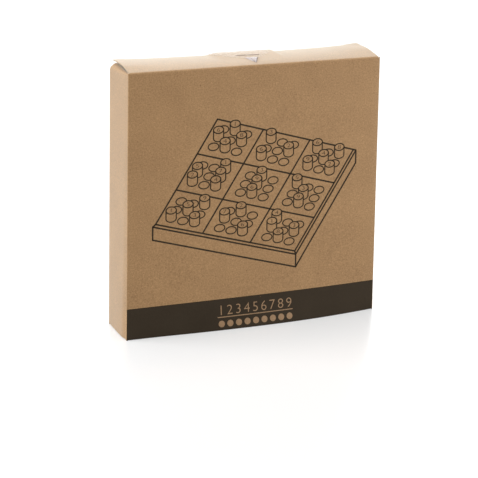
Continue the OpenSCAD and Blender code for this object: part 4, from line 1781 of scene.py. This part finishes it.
def random_vector(tree, low, high, seed):
    """A random vector for each place, between two vectors."""
    inputs = {"Min": low, "Max": high, "Seed": seed}
    node = add_node(tree, "FunctionNodeRandomValue", inputs, data_type="FLOAT_VECTOR")
    return node.outputs["Value"]

def peg_tree():
    """A node tree that stands pegs and their marks in the holes of one digit."""
    tree = bpy.data.node_groups.new("pegs_of_a_digit", "GeometryNodeTree")
    socket(tree, "Start", "NodeSocketGeometry")
    socket(tree, "Peg", "NodeSocketObject")
    socket(tree, "Mark", "NodeSocketObject")
    socket(tree, "Digit", "NodeSocketInt", default=1)
    socket(tree, "Foot depth", "NodeSocketFloat")
    socket(tree, "Middle height", "NodeSocketFloat")
    socket(tree, "Peg wood", "NodeSocketMaterial")
    socket(tree, "Mark ink", "NodeSocketMaterial")
    socket(tree, "Pegs", "NodeSocketGeometry", "OUTPUT")
    given = add_node(tree, "NodeGroupInput").outputs
    places = places_in(tree, given["Foot depth"], given["Middle height"])
    apart = calc(tree, "ABSOLUTE", calc(tree, "SUBTRACT", places["Digit"], given["Digit"]))
    mine = calc(tree, "LESS_THAN", apart, 0.5)
    turns = random_vector(tree, (0, -math.pi, 0), (0, math.pi, 0), given["Digit"])
    shifts = random_vector(tree, (-GRAIN_SHIFT,) * 3, (GRAIN_SHIFT,) * 3, given["Digit"])
    branches = add_node(tree, "GeometryNodeJoinGeometry")
    for name, material, turn in (("Peg", "Peg wood", turns), ("Mark", "Mark ink", None)):
        shape = object_shape(tree, given[name])
        inputs = {"Points": places["Places"], "Selection": mine, "Instance": shape}
        if turn:
            inputs["Rotation"] = turn
        standing = add_node(tree, "GeometryNodeInstanceOnPoints", inputs).outputs[0]
        shifted = add_node(
            tree,
            "GeometryNodeStoreNamedAttribute",
            {"Geometry": standing, "Name": "grain_shift", "Value": shifts},
            data_type="FLOAT_VECTOR",
            domain="INSTANCE",
        ).outputs[0]
        tree.links.new(realize(tree, shifted, given[material]), branches.inputs[0])
    add_node(tree, "NodeGroupOutput", {0: branches.outputs[0]})
    return tree

pegs_of_a_digit = peg_tree()
print("nodes in the tree:", len(pegs_of_a_digit.nodes))

# %% Nine sets of pegs
FOOT_Y = board_low.y + HOLE_DEPTH
for digit in DIGITS:
    mark = peg_mark(digit)
    pegs = add_object("pegs_" + str(digit) + "_wood", bpy.data.meshes.new("pegs"), ())
    values = {
        "Peg": one_peg,
        "Mark": mark,
        "Digit": digit,
        "Foot depth": FOOT_Y,
        "Middle height": BOARD_Z,
        "Peg wood": peg_wood,
        "Mark ink": brown_ink,
    }
    smooth(run_tree(pegs, pegs_of_a_digit, values))
    bpy.data.objects.remove(mark)
    finish_piece(pegs, "pegs_" + str(digit), "peg_wood", "pegs_digit_" + str(digit))
bpy.data.objects.remove(one_peg)

# %% [markdown]
# The leaflet
# The leaflet is a sheet folded once, which lies flat behind the board. It could be a sheet like the card,
# but its solid already has the right folded shape, so it stays and only gets its paper.

# %% Leaflet
leaflet = frame["nodes"]["leaflet"]
leaflet.data.materials.clear()
leaflet.data.materials.append(grid_paper)
print("leaflet wears", grid_paper.name)

# %% [markdown]
# Floor, world and lamps
# A product photograph stands its object on glossy white acrylic under wide soft lamps. To the camera and
# to reflections the floor and the world are as bright as white paper, which a glow gives that falls on no
# surface. What is left of the floor's own colour still takes the carton's shadow and its faint reflection.

# %% Floor
FLOOR_HALF = 3.0
FLOOR_GLOW = 0.508
FLOOR_TONE = 0.45
FLOOR_PATCHES = {"scale": 0.01, "detail": 2.0}
FLOOR_WAVER = 0.005
FLOOR_ROUGHNESS = 0.25

def direct_rays(tree):
    """1 for rays from the camera, from reflections and through film, and 0 for light on surfaces."""
    path = add_node(tree, "ShaderNodeLightPath").outputs
    mirrored = calc(tree, "MAXIMUM", path["Is Camera Ray"], path["Is Glossy Ray"])
    return calc(tree, "MAXIMUM", mirrored, path["Is Transmission Ray"])

def floor_material():
    """Glossy white acrylic with the faintest unevenness."""
    material, tree, shader, place = start_material("white_acrylic")
    waver = noise(tree, place, **FLOOR_PATCHES)
    tones = [[FLOOR_TONE + step] * 3 + [1.0] for step in (-FLOOR_WAVER, FLOOR_WAVER)]
    tree.links.new(blend_colours(tree, waver, *tones), shader.inputs["Base Color"])
    glow = calc(tree, "MULTIPLY", direct_rays(tree), FLOOR_GLOW)
    tree.links.new(glow, shader.inputs["Emission Strength"])
    shader.inputs["Emission Color"].default_value = (1, 1, 1, 1)
    shader.inputs["Roughness"].default_value = FLOOR_ROUGHNESS
    return material

floor_mesh = bpy.data.meshes.new("floor")
corners = [(x * FLOOR_HALF, y * FLOOR_HALF, 0) for x, y in CORNER_SIGNS]
floor_mesh.from_pydata(corners, [], [(0, 1, 2, 3)])
floor = add_object("floor", floor_mesh, (floor_material(),))
print("floor side, m:", 2 * FLOOR_HALF)

# %% World
WORLD_LIGHT = 0.43

def white_world():
    """White to the camera and to reflections, and a plain level of light otherwise."""
    world = bpy.data.worlds.new("studio")
    world.use_nodes = True
    tree = world.node_tree
    tree.nodes.clear()
    strength = calc(tree, "MULTIPLY_ADD", direct_rays(tree), 1.0 - WORLD_LIGHT, WORLD_LIGHT)
    light = add_node(tree, "ShaderNodeBackground", {"Color": (1, 1, 1, 1), "Strength": strength})
    add_node(tree, "ShaderNodeOutputWorld", {"Surface": light.outputs[0]})
    return world

bpy.context.scene.world = white_world()
bpy.context.scene.view_settings.view_transform = "Standard"
print("world light:", WORLD_LIGHT)

# %% Lamps
LAMPS = {
    "left_soft_box": {"place": (-1.15, 0.40, 0.70), "width": 0.9, "power": 16.5},
    "front_soft_box": {"place": (0.69, -0.62, 0.22), "width": 0.5, "power": 4.1},
    "back_soft_box": {"place": (0.5, 1.35, 0.75), "width": 1.0, "power": 4.8},
    "top_soft_box": {"place": (0.05, 0.15, 1.25), "width": 0.9, "power": 6.4},
}

def soft_lamp(name, place, width, power):
    """A square soft box that faces the carton."""
    data = bpy.data.lights.new(name, "AREA")
    data.shape = "SQUARE"
    data.size = width
    data.energy = power
    lamp = bpy.data.objects.new(name, data)
    facing = (aim - Vector(place)).to_track_quat("-Z", "Y").to_matrix().to_4x4()
    lamp.matrix_world = Matrix.Translation(place) @ facing
    bpy.context.scene.collection.objects.link(lamp)

for name, lamp in LAMPS.items():
    soft_lamp(name, **lamp)
print("lamps:", list(LAMPS))
